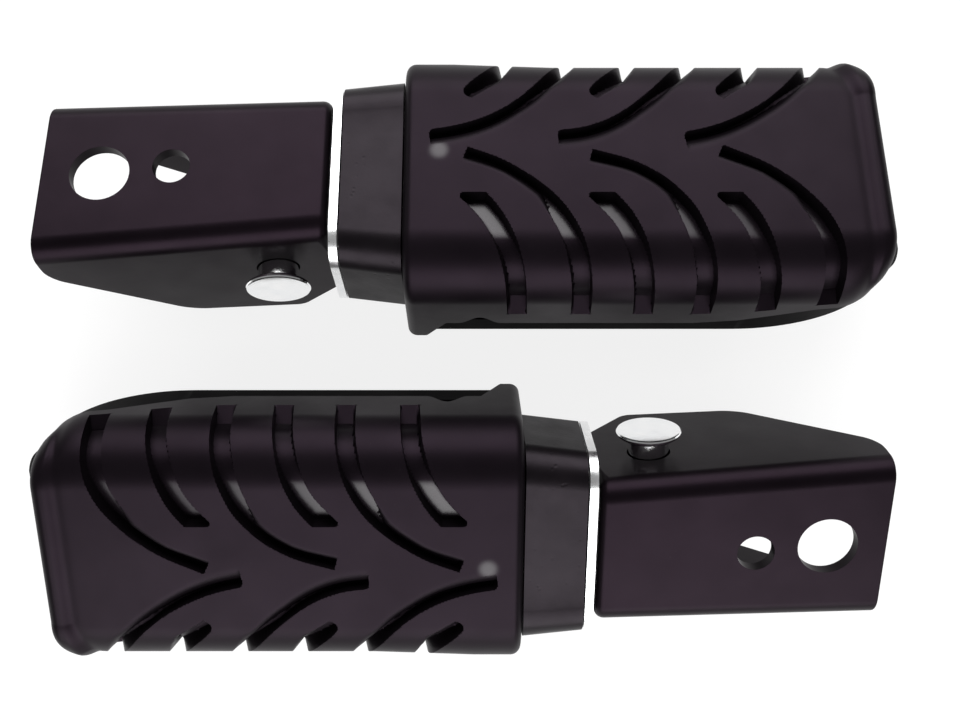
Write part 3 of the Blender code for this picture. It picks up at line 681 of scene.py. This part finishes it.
def makePlateAndCollar():
    c = collar
    plate = flatten(carve(collarBlock(c["plateFront"], c["plateBack"]), collarTools()))
    softenEdges(plate, c["plateEdge"])
    placePiece("face_sheet", plate, "line", "peg", ["face_plate"], satinZinc)
    body = collarBlock(c["front"], c["back"], c["crown"])
    for vert in body.verts:
        vert.co.y *= 1 + (vert.co.x - c["front"]) / (c["back"] - c["front"]) * c["flare"] / c["halfWidth"]
    hole = rod(c["pinHole"], c["pinBottom"], c["pinTop"], centre=(c["pinX"], 0, 0))
    body = flatten(carve(body, collarTools() + [hole]))
    softenEdges(body, c["castEdge"])
    placePiece("casting", body, "line", "peg", ["collar"], castPaint)


makePlateAndCollar()
print("plates stamped and collars cast")


# Rubber
rubber = {
    "front": 26.5, "end": 118.9, "halfWidth": 25.6, "top": 15.9, "shoulder": 11.0, "rim": -4.7,
    "tipRadius": 9.0, "edgeRadius": 2.0, "tipEdgeRadius": 2.2, "foot": -11.8, "footEnd": 30.4,
    "footSlope": 34.5, "riseStart": 84.0, "rise": ((0, 0), (0.25, 1.4), (0.45, 4.2), (0.65, 7.2), (1, 10)),
    "arch": (37.0, 45.5, 3.0), "hold": ([84, 118], [34, 25]), "barEnd": 98.3,
    # the tip's band as start, run and raise on the front and on the back, where it takes over,
    # how far around it reaches (front, more on the back, fade) and the line ahead of it
    "band": (114.4, 1.5, 0.55), "backBand": (111.4, 3.5, 1.7), "backFrom": (14, 8),
    "bandReach": (30, 8, 4), "valley": (0.12, 0.3, 34, 4),
    # inward flare of the back flank's front end, as (depth, end, run)
    "frontFlare": (0.9, 56, 20),
    "columns": 262, "tipColumns": 30, "rows": 298, "lip": (0, 0.04, 0.12, 0.25, 0.45, 0.7),
    "lipInsteadOf": 3, "slack": 0.0001,
}
tread = {
    "depth": 3.0, "wall": 0.2, "reach": 9.0,
    "frontLong": [
        [(38.8, 2.6), (45, 0.3), (51.6, -4.1), (56.4, -8.6), (59.4, -13.6), (61.2, -18.8), (62.1, -23.9),
         (63, -36.6)],
        [(62.7, 2.1), (70.3, -0.1), (76.5, -3.9), (81.7, -9.9), (84.2, -17), (85.4, -22.6), (86.6, -36.6)],
        [(87.7, 3), (95.7, -0.7), (101.5, -5.2), (106.5, -11.1), (108.3, -16), (109.3, -20.7), (109.8, -36)],
    ],
    "frontShort": [
        [(36.5, -1.5), (42.2, -7.1), (44.8, -10.2), (47, -14.4), (48.6, -18.8), (49.7, -23.9),
         (50.5, -36.6)],
        [(60.9, -1.5), (66.5, -7.1), (69.7, -10.9), (71.7, -15.6), (72.9, -19.9), (73.8, -24.6),
         (75.2, -36.4)],
        [(85.2, -1.5), (90.6, -7.1), (93.7, -11.3), (95.4, -16.2), (96.7, -20.7), (97.6, -24.6),
         (98.6, -34)],
    ],
    "backLong": [
        [(31.2, 6.4), (36, 7.1), (41.8, 8.9), (47, 11.8), (51.7, 15.9), (54.0, 19.2), (56.3, 23), (57.7, 27),
         (57.9, 31), (57.9, 38)],
        [(56, 6.3), (61, 6.7), (66.3, 8.7), (70.9, 11.8), (75.8, 16.3), (78.5, 20), (81.0, 24), (82.5, 28),
         (82.7, 32), (82.7, 38)],
        [(80.2, 5.8), (85.5, 6.9), (90.9, 9.1), (96.4, 12.3), (101.2, 16.5), (104, 20.4), (106.4, 24.4),
         (107.8, 28), (107.9, 32), (107.9, 38)],
    ],
    "backShort": [
        [(37.5, 14.8), (38.7, 16.8), (41.9, 19.9), (44.4, 24.2), (45.5, 28), (45.6, 32), (45.6, 38)],
        [(62.1, 14.8), (63.3, 16.8), (66.5, 19.9), (69.0, 24.2), (70.2, 28), (70.3, 32), (70.3, 38)],
        [(86.7, 14.8), (88.0, 16.8), (91.3, 19.9), (93.9, 24.2), (95.1, 28), (95.2, 32), (95.2, 38)],
    ],
    # widths, ramp lengths and depths along a groove, by distance around from the middle of the top
    "frontLongWidth": ([-25, -20, -14, -9, -6, -1, 2.6], [3.9, 4.0, 3.8, 3.6, 3.4, 3.1, 3.4]),
    "frontLongRamp": ([-11, -8.5, -6, 2], [0.3, 1.2, 2.6, 2.0]),
    "frontLongDepth": ([-4, 2.6], [3.0, 2.6]),
    "frontShortWidth": ([-25, -8], [3.9, 4.2]),
    "frontShortRamp": ([-25, -7], [0.3, 0.3]),
    "backLongWidth": ([6, 9, 12, 20, 26], [5.0, 4.2, 3.8, 4.0, 3.2]),
    "backLongRamp": ([6, 9, 12, 20, 26], [4.4, 3.4, 3.0, 2.4, 2.4]),
    "backLongDepth": ([6, 11], [2.6, 3.0]),
    "backShortWidth": ([14.8, 17, 20, 26], [2.4, 3.4, 4.4, 3.2]),
    "backShortRamp": ([14.8, 20, 26], [0.4, 0.8, 2.4]),
    # rounding where a groove's start meets its steep wall, and where the pocket's top meets its far side
    "startRound": {"frontLong": 0.01, "frontShort": 0.01, "backLong": 1.3, "backShort": 1.2},
    "pocketRound": 0.9, "pocketReach": 4.8, "pocketTop": -7.1,
    # a ramp longer than this runs out past the groove's far edge, at this rate
    "openRamp": 1.25, "openRate": 8,
    # the floor curves on the top, and turns straight past the shoulder, as (start, run)
    "straight": (18, 8),
    # the steep wall leans where it crosses the back shoulder
    "lean": ([17, 24], [0.2, 0.7]),
    # gloss of the moulded floors, and of the first groove's wide start
    "polishFrom": (-3.0, -9.0), "polishTo": (-16.0, -14.0), "polishDepth": (0.6, 2.0),
    "polishAlong": ([45, 60, 90], [1.0, 0.8, 0.35]), "polishSpot": (33.3, 1.9, 1.7, 0.8),
    "polishInset": (0.4, 0.5), "polishFar": (0.3, 0.9),
    "frontEnd": -36.6, "frontRise": 2.4, "backEnd": 37.2,
    "pathStep": 0.5, "pathRounds": 36, "pathPast": 8, "probe": 0.05, "slopeRange": (0.25, 4),
}


def treadGrooves():
    # every groove's line, kind and the height that cuts a pocket's top off, if it is one
    grooves = []
    for kind in ("frontLong", "frontShort", "backLong", "backShort"):
        clip = tread["pocketTop"] if kind == "frontShort" else None
        grooves += [(finePath(points), kind, clip) for points in tread[kind]]
    return grooves


def finePath(points):
    # evenly spaced points along the drawn line, its corners eased, drawn on past both ends
    line = np.array(points, float)
    run = np.concatenate(([0], np.cumsum(np.hypot(*np.diff(line, axis=0).T))))
    even = np.linspace(0, run[-1], int(run[-1] / tread["pathStep"]) + 1)
    line = np.column_stack([np.interp(even, run, line[:, i]) for i in (0, 1)])
    for _ in range(tread["pathRounds"]):
        line[1:-1] = (line[:-2] + 2 * line[1:-1] + line[2:]) / 4
    past = tread["pathPast"]
    first = line[0] + (line[0] - line[2]) / np.hypot(*(line[0] - line[2])) * past
    last = line[-1] + (line[-1] - line[-3]) / np.hypot(*(line[-1] - line[-3])) * past
    return np.vstack([first, line, last])


def alongPath(line, spots):
    # distance from the path's start, distance to its right, and the path's own place around
    start, step = line[:-1], np.diff(line, axis=0)
    length = np.hypot(*step.T)
    share = ((spots[:, None] - start) * step).sum(2) / length**2
    share = np.clip(share, 0, 1)
    gap = spots[:, None] - (start + share[:, :, None] * step)
    near = np.argmin((gap**2).sum(2), axis=1)
    pick = np.arange(len(spots)), near
    right = (gap[pick][:, 0] * step[near][:, 1] - gap[pick][:, 1] * step[near][:, 0]) / length[near]
    run = np.concatenate(([0], np.cumsum(length)))[near] + share[pick] * length[near]
    around = (start[near] + share[pick][:, None] * step[near])[:, 1]
    return run - length[0], right, around


def fade(value, start, run):
    # rises from 0 to 1 over the run that begins at the start
    return np.clip((value - start) / run, 0, 1)


def roundCorner(first, second, radius):
    # distance inside two edges whose corner is rounded
    short = np.clip(radius - first, 0, None)
    far = np.clip(radius - second, 0, None)
    return np.where((short > 0) & (far > 0), radius - np.hypot(short, far), np.minimum(first, second))


def grooveAt(spots, groove):
    # how far each spot lies inside the groove's steep walls, the depth and the floor's gloss there
    t = tread
    line, kind, clip = groove
    run, right, around = alongPath(line, spots)
    width = np.interp(around, *t[kind + "Width"])
    ramp = np.interp(around, *t[kind + "Ramp"])
    deep = np.interp(around, *t.get(kind + "Depth", ([0, 1], [t["depth"]] * 2)))
    front = kind.startswith("front")
    stop = spots[:, 1] - t["frontEnd"] if front else t["backEnd"] - spots[:, 1]
    inside = np.minimum(roundCorner(right, run, t["startRound"][kind]), stop)
    far = width - right + t["openRate"] * np.maximum(ramp - t["openRamp"], 0)
    if clip is not None:
        corner = np.interp(-clip, -line[:, 1], line[:, 0]) - t["pocketReach"]
        far = np.minimum(far, roundCorner(spots[:, 0] - corner, clip - spots[:, 1], t["pocketRound"]))
    inside = np.minimum(inside, far)
    share = np.clip((width - right) / ramp, 0, 1)
    straight = fade(np.abs(around), *t["straight"])
    share = straight * share + (1 - straight) * share**3
    wall = np.full_like(around, t["wall"]) if front else np.interp(around, *t["lean"])
    floor = fade(inside, *t["polishInset"]) * fade(width - right, *t["polishFar"])
    if front:
        share *= fade(stop, 0, t["frontRise"])
    return inside, deep * share * np.clip(inside / wall, 0, 1), floor


def cutTread(spots, spacing):
    # draws the grid's lines onto the groove walls, returns the depth and floor share at every spot
    depth = np.zeros(len(spots))
    floor = np.zeros(len(spots))
    probe = tread["probe"]
    flattest, steepest = tread["slopeRange"]
    for groove in treadGrooves():
        line, kind = groove[:2]
        low, high = line[1:-1].min(0) - tread["reach"], line[1:-1].max(0) + tread["reach"]
        near = np.where(((spots > low) & (spots < high)).all(1))[0]
        here = spots[near]
        inside = grooveAt(here, groove)[0]
        slope = np.column_stack([
            grooveAt(here + (probe, 0), groove)[0] - grooveAt(here - (probe, 0), groove)[0],
            grooveAt(here + (0, probe), groove)[0] - grooveAt(here - (0, probe), groove)[0],
        ]) / (2 * probe)
        size = np.maximum((slope**2).sum(1), flattest)
        step = (np.abs(slope) * spacing).max(1)
        edge = np.abs(inside) < step / 2
        foot = (inside >= step / 2) & (inside < step * 1.5)
        foot &= (here[:, 1] < tread["lean"][0][0]) | kind.startswith("front")
        move = np.where(edge, -inside, np.where(foot, tread["wall"] - inside, 0)) / size
        move[size > steepest] = 0
        spots[near] = here + slope * move[:, None]
        deep, share = grooveAt(spots[near], groove)[1:]
        depth[near] = np.maximum(depth[near], deep)
        floor[near] = np.maximum(floor[near], share)
    return depth, floor


def rimHeight(along):
    r = rubber
    run = r["end"] - r["riseStart"]
    shares, heights = zip(*r["rise"])
    rim = r["rim"] + np.interp(along, [r["riseStart"] + run * share for share in shares], heights)
    low = np.interp(along, [r["footEnd"], r["footSlope"]], [r["foot"] - r["rim"], 0])
    start, end, rise = r["arch"]
    return rim + low + rise * np.sin(fade(along, start, end - start) * pi) ** 2


def rubberSkin():
    # the tread as one grid, along by around, bent over the section with its grooves pressed in
    r = rubber
    flat = r["halfWidth"] - r["shoulder"]
    arc = r["shoulder"] * pi / 2
    centre = r["top"] - r["shoulder"]
    columns = r["columns"] + r["tipColumns"]
    bm = bmesh.new()
    bmesh.ops.create_grid(bm, x_segments=columns - 1, y_segments=r["rows"] - 1, size=1)
    grid = np.array([vert.co[:2] for vert in bm.verts])
    body = np.linspace(r["front"], r["end"] - r["tipRadius"], r["columns"], endpoint=False)
    body = np.concatenate([r["front"] + np.array(r["lip"]), body[r["lipInsteadOf"]:]])
    angles = np.linspace(0, pi / 2, columns - len(body))
    stations = np.concatenate([body, r["end"] - r["tipRadius"] * (1 - np.sin(angles))])
    full = flat + arc + centre - r["rim"]
    column = np.rint((grid[:, 0] + 1) / 2 * (columns - 1)).astype(int)
    spots = np.column_stack([stations[column], grid[:, 1] * full])
    depth, gloss = cutTread(spots, (body[-1] - body[-2], 2 * full / (r["rows"] - 1)))
    along, around = spots.T
    side, reach = np.sign(around), np.abs(around)
    rim = rimHeight(along)
    onShoulder = flat + r["shoulder"] * np.arccos(np.clip((rim - centre) / r["shoulder"], 0, 1))
    limit = np.where(rim > centre, onShoulder, flat + arc + centre - rim)
    hold = np.interp(along, *r["hold"])
    reach = np.where(reach > hold, hold + (reach - hold) * (limit - hold) / (full - hold), reach)
    angle = np.clip((reach - flat) / r["shoulder"], 0, pi / 2)
    normal = np.column_stack([np.zeros_like(angle), side * np.sin(angle), np.cos(angle)])
    point = np.column_stack([along, side * np.minimum(reach, flat), np.full_like(along, centre)])
    point += normal * r["shoulder"]
    point[:, 2] -= np.maximum(reach - flat - arc, 0)
    left = np.clip(r["end"] - along, 0, None)
    ahead = along - r["front"]

    def rounding(gap, radius):
        rest = np.clip(radius - gap, 0, radius)
        return radius - np.sqrt(radius**2 - rest**2)

    inward = normal[:, 1] ** 2 * rounding(left, r["tipRadius"])
    inward += normal[:, 2] ** 2 * rounding(left, r["tipEdgeRadius"])
    inward += rounding(ahead, r["edgeRadius"])
    rear = fade(around, *r["backFrom"])
    start, run, rise = [low + (high - low) * rear for low, high in zip(r["band"], r["backBand"])]
    band = fade(along, start, run)
    frontReach, moreBehind, fadeRun = r["bandReach"]
    inward -= rise * band * band * (3 - 2 * band) * fade(frontReach + moreBehind * rear, reach, fadeRun)
    valley, shift, lowest, fadeRun = r["valley"]
    line = np.exp(-(along - start + shift) ** 2) * fade(lowest, reach, fadeRun)
    inward += valley * line * (1 - rear)
    flare, flareEnd, flareRun = r["frontFlare"]
    inward -= flare * fade(flareEnd, along, flareRun) * np.clip(normal[:, 1], 0, 1) ** 2
    point -= normal * (inward + depth)[:, None]
    for value, key in ((around, "polishFrom"), (around, "polishTo"), (depth, "polishDepth")):
        none, whole = tread[key]
        gloss *= fade(value, none, whole - none)
    gloss *= np.interp(along, *tread["polishAlong"])
    spotX, spotY, spread, shine = tread["polishSpot"]
    away = ((along - spotX) ** 2 + (around - spotY) ** 2) / spread**2
    gloss += shine * np.exp(-away**2)
    layer = bm.verts.layers.float.new("polish")
    for vert, place, share in zip(bm.verts, point, gloss):
        vert.co = place
        vert[layer] = share
    return bm


def makeRubber():
    r = rubber
    bm = rubberSkin()
    edges = [edge for edge in bm.edges if edge.is_boundary]
    rims = [edge for edge in edges if abs(edge.verts[0].co.x - edge.verts[1].co.x) > r["slack"]]
    bmesh.ops.bridge_loops(bm, edges=rims)
    bmesh.ops.holes_fill(bm, edges=[edge for edge in bm.edges if edge.is_boundary])
    bmesh.ops.recalc_face_normals(bm, faces=bm.faces)
    bm = carve(bm, [barRoom(0, r["barEnd"])])
    placePiece(
        "tread", bm, "line", "peg", ["rubber"], treadRubber,
        sharp=38, weighted=False,
    )


makeRubber()
print("rubbers moulded")


# Hull-shaped underside
hull = {
    "start": 30.3, "half": 24.7, "nose": 132.1, "noseLength": 40.0, "chine": -10.5, "keelHalf": 4.0,
    "keel": 23.66, "rake": 24.0, "noseDepth": -12.5, "gap": 0.3, "noseFacets": 160,
    "chineRadius": 1.6, "keelRadius": 5.0, "heelRadius": 2.0, "bowRadius": 6.0, "noseRadius": 2.0,
    "lipRadius": 1.0, "edge": 0.4, "edgeAngle": 35, "bedTop": 5.5, "holeTop": 10.0,
    # reach of the tools past the hull: below, above, along and across
    "past": 5, "top": 20, "sectionTop": 30, "span": (20, 140), "reach": 40,
    "screws": (50.0, 88.0), "screwHole": 3.3, "screwTop": 5.8, "counterbore": 6.0, "seat": -14.7,
}


def makeHull():
    h, r = hull, rubber
    half, keel, gap = h["half"], h["keel"], h["gap"]
    low, keelHalf = -keel - h["past"], h["keelHalf"]
    centre = h["nose"] - h["noseLength"]
    bm = rod(1.0, low, h["top"], facets=h["noseFacets"])
    bmesh.ops.scale(bm, vec=(h["noseLength"], half, 1), verts=bm.verts)
    bmesh.ops.translate(bm, vec=(centre, 0, 0), verts=bm.verts)
    middle = blockZ(
        [(h["start"], -half, 0), (centre, -half, 0), (centre, half, 0), (h["start"], half, 0)],
        low, h["top"],
    )
    bm = carve(bm, [middle], "UNION")
    wide = half + gap
    section = blockX(
        [
            (-wide, h["sectionTop"], 0), (-wide, h["chine"], h["chineRadius"]),
            (-keelHalf, -keel, h["keelRadius"]), (keelHalf, -keel, h["keelRadius"]),
            (wide, h["chine"], h["chineRadius"]), (wide, h["sectionTop"], 0),
        ],
        *h["span"],
    )
    run = r["end"] - r["riseStart"]
    rim = [(r["riseStart"] + run * share, r["rim"] + height - gap) for share, height in r["rise"]]
    profile = blockY(
        [
            (h["start"], -keel, h["heelRadius"]), (h["nose"] - h["rake"], -keel, h["bowRadius"]),
            (h["nose"], h["noseDepth"], h["noseRadius"]), (r["end"] + gap, rim[-1][1], h["lipRadius"]),
        ]
        + [(x, z, 0) for x, z in reversed(rim[:-1])]
        + [(r["footSlope"] + gap, r["rim"] - gap, 0), (h["start"], r["foot"] + gap, 0)],
        -h["reach"], h["reach"],
    )
    bm = carve(carve(bm, [section], "INTERSECT"), [profile], "INTERSECT")
    bed = boxCorners(collar["barHalf"], collar["barBottom"], h["bedTop"])
    tools = [blockX(bed, h["span"][0], r["barEnd"])]
    for x in h["screws"]:
        tools.append(rod(h["screwHole"], -keel, h["holeTop"], centre=(x, 0, 0)))
        tools.append(rod(h["counterbore"], low, h["seat"], centre=(x, 0, 0)))
    bm = flatten(carve(bm, tools))
    softenEdges(bm, h["edge"], angle=h["edgeAngle"])
    placePiece("hull_shell", bm, "line", "peg", ["hull"], hullPlastic)


makeHull()
print("hulls moulded")


# Forged arm
arm = {
    "eyeRadius": 10.0, "eyeHalf": 11.1, "bushBore": 5.8, "shoulder": 12.2, "rootHalf": 10.3,
    "rootBottom": -10.0, "rootTop": 9.2, "barHalf": 9.5, "barBottom": -4.9, "barTop": 5.5, "end": 98.0,
    "softWidth": 0.6, "eyeFacets": 64, "overlap": 6.0, "boreReach": 20,
}


def makeArm():
    a, reach = arm, arm["boreReach"]
    root = boxCorners(a["rootHalf"], a["rootBottom"], a["rootTop"])
    bar = boxCorners(a["barHalf"], a["barBottom"], a["barTop"])
    tools = [blockX(root, 0, a["shoulder"]), blockX(bar, a["shoulder"] - a["overlap"], a["end"])]
    bores = [(x, hull["screwHole"], hull["screwTop"]) for x in hull["screws"]]
    bores.append((collar["pinX"], collar["pinHole"], collar["pinTop"]))
    holes = [rod(radius, -reach, top, centre=(x, 0, 0)) for x, radius, top in bores]
    for tool in tools + holes:
        bmesh.ops.rotate(tool, matrix=Matrix.Rotation(-sweep, 3, "Z"), verts=tool.verts)
    eye = rod(a["eyeRadius"], -a["eyeHalf"], a["eyeHalf"], "Y", facets=a["eyeFacets"])
    bm = carve(eye, tools, "UNION")
    softenEdges(flatten(bm), a["softWidth"])
    bm = carve(bm, [rod(a["bushBore"], -reach, reach, "Y")] + holes)
    placePiece("forging", bm, "hinge", "peg", ["arm"], plainSteel)


makeArm()
print("arms forged")


# Socket screws of the hull
screw = {
    "radius": 3.0, "end": 3.0, "headRadius": 5.0, "seat": -15.0, "headHeight": 4.0, "edge": 0.6,
    "socket": 2.5, "socketDepth": 2.4, "tipEdge": 0.5, "underEdge": 0.1, "edgeBend": 0.3, "past": 2,
}


def makeScrews():
    s = screw
    seat, head, shank, tip, edge = s["seat"], s["headRadius"], s["radius"], s["tipEdge"], s["edge"]
    face = seat - s["headHeight"]
    bend = edge * s["edgeBend"]
    for number, x in enumerate(hull["screws"], 1):
        bm = turnedShape([
            (0, s["end"]), (shank - tip, s["end"]), (shank, s["end"] - tip), (shank, seat),
            (head - s["underEdge"], seat), (head, seat - s["underEdge"]), (head, face + edge),
            (head - bend, face + bend), (head - edge, face), (0, face),
        ])
        socket = rod(s["socket"], face - s["past"], face + s["socketDepth"], facets=6)
        bm = carve(bm, [socket])
        bmesh.ops.translate(bm, vec=(x, 0, 0), verts=bm.verts)
        name = "screw_" + str(number)
        placePiece("socket_" + name, bm, "line", "peg", [name], brightZinc)


makeScrews()
print("screws turned")


# CAD parts that stay, and their finishes
cadFinishes = {
    "thrust_washer": plainSteel, "spring_washer": plainSteel, "roll_pin": plainSteel,
    "eye_bush": oiledBronze,
}
for side in sides:
    for node, material in cadFinishes.items():
        for slot in bpy.data.objects[side + "_" + node].material_slots:
            slot.material = material


# Floor, backdrop and light
studio = {
    "floorSize": 6.0, "floorColour": (0.18, 0.18, 0.18), "floorGlow": 0.85, "worldLevel": 0.2,
    "lampAngle": 57.0, "lampDistance": 0.6, "lampSize": (0.75, 0.48), "lampPower": 5.8,
}


def makeFloor():
    bm = bmesh.new()
    bmesh.ops.create_grid(bm, x_segments=1, y_segments=1, size=studio["floorSize"] / 2)
    mesh = bpy.data.meshes.new("floor")
    bm.to_mesh(mesh)
    bm.free()
    floor = bpy.data.objects.new("floor", mesh)
    scene.collection.objects.link(floor)
    material = bpy.data.materials.new("floor paper")
    material.use_nodes = True
    tree = material.node_tree
    tree.nodes.clear()
    paper = addNode(tree, "ShaderNodeBsdfDiffuse")
    paper.inputs["Color"].default_value = (*studio["floorColour"], 1)
    glow = addNode(tree, "ShaderNodeEmission", {"Strength": studio["floorGlow"]})
    both = addNode(tree, "ShaderNodeAddShader")
    path = addNode(tree, "ShaderNodeLightPath")
    seen = addNode(tree, "ShaderNodeMath", operation="MAXIMUM")
    seenAny = addNode(tree, "ShaderNodeMath", operation="MAXIMUM")
    pick = addNode(tree, "ShaderNodeMixShader")
    out = addNode(tree, "ShaderNodeOutputMaterial")
    link = tree.links.new
    link(path.outputs["Is Camera Ray"], seen.inputs[0])
    link(path.outputs["Is Glossy Ray"], seen.inputs[1])
    link(seen.outputs["Value"], seenAny.inputs[0])
    link(path.outputs["Is Transmission Ray"], seenAny.inputs[1])
    link(paper.outputs["BSDF"], both.inputs[0])
    link(glow.outputs["Emission"], both.inputs[1])
    link(seenAny.outputs["Value"], pick.inputs["Fac"])
    link(paper.outputs["BSDF"], pick.inputs[1])
    link(both.outputs["Shader"], pick.inputs[2])
    link(pick.outputs["Shader"], out.inputs["Surface"])
    mesh.materials.append(material)


def makeLights():
    # one long softbox on each side of the camera
    s = studio
    for name, turn in (("back_softbox", 0), ("front_softbox", pi)):
        lamp = bpy.data.lights.new(name, "AREA")
        lamp.shape = "RECTANGLE"
        lamp.size, lamp.size_y = s["lampSize"]
        lamp.energy = s["lampPower"]
        holder = bpy.data.objects.new(name, lamp)
        lean = Matrix.Rotation(-radians(s["lampAngle"]), 4, "X")
        away = Matrix.Translation((0, 0, s["lampDistance"]))
        holder.matrix_world = Matrix.Rotation(turn, 4, "Z") @ lean @ away
        holder.visible_camera = False
        scene.collection.objects.link(holder)
    world = bpy.data.worlds.new("studio")
    world.use_nodes = True
    world.node_tree.nodes["Background"].inputs["Color"].default_value = (1, 1, 1, 1)
    world.node_tree.nodes["Background"].inputs["Strength"].default_value = s["worldLevel"]
    scene.world = world


makeFloor()
makeLights()
print("studio lit")
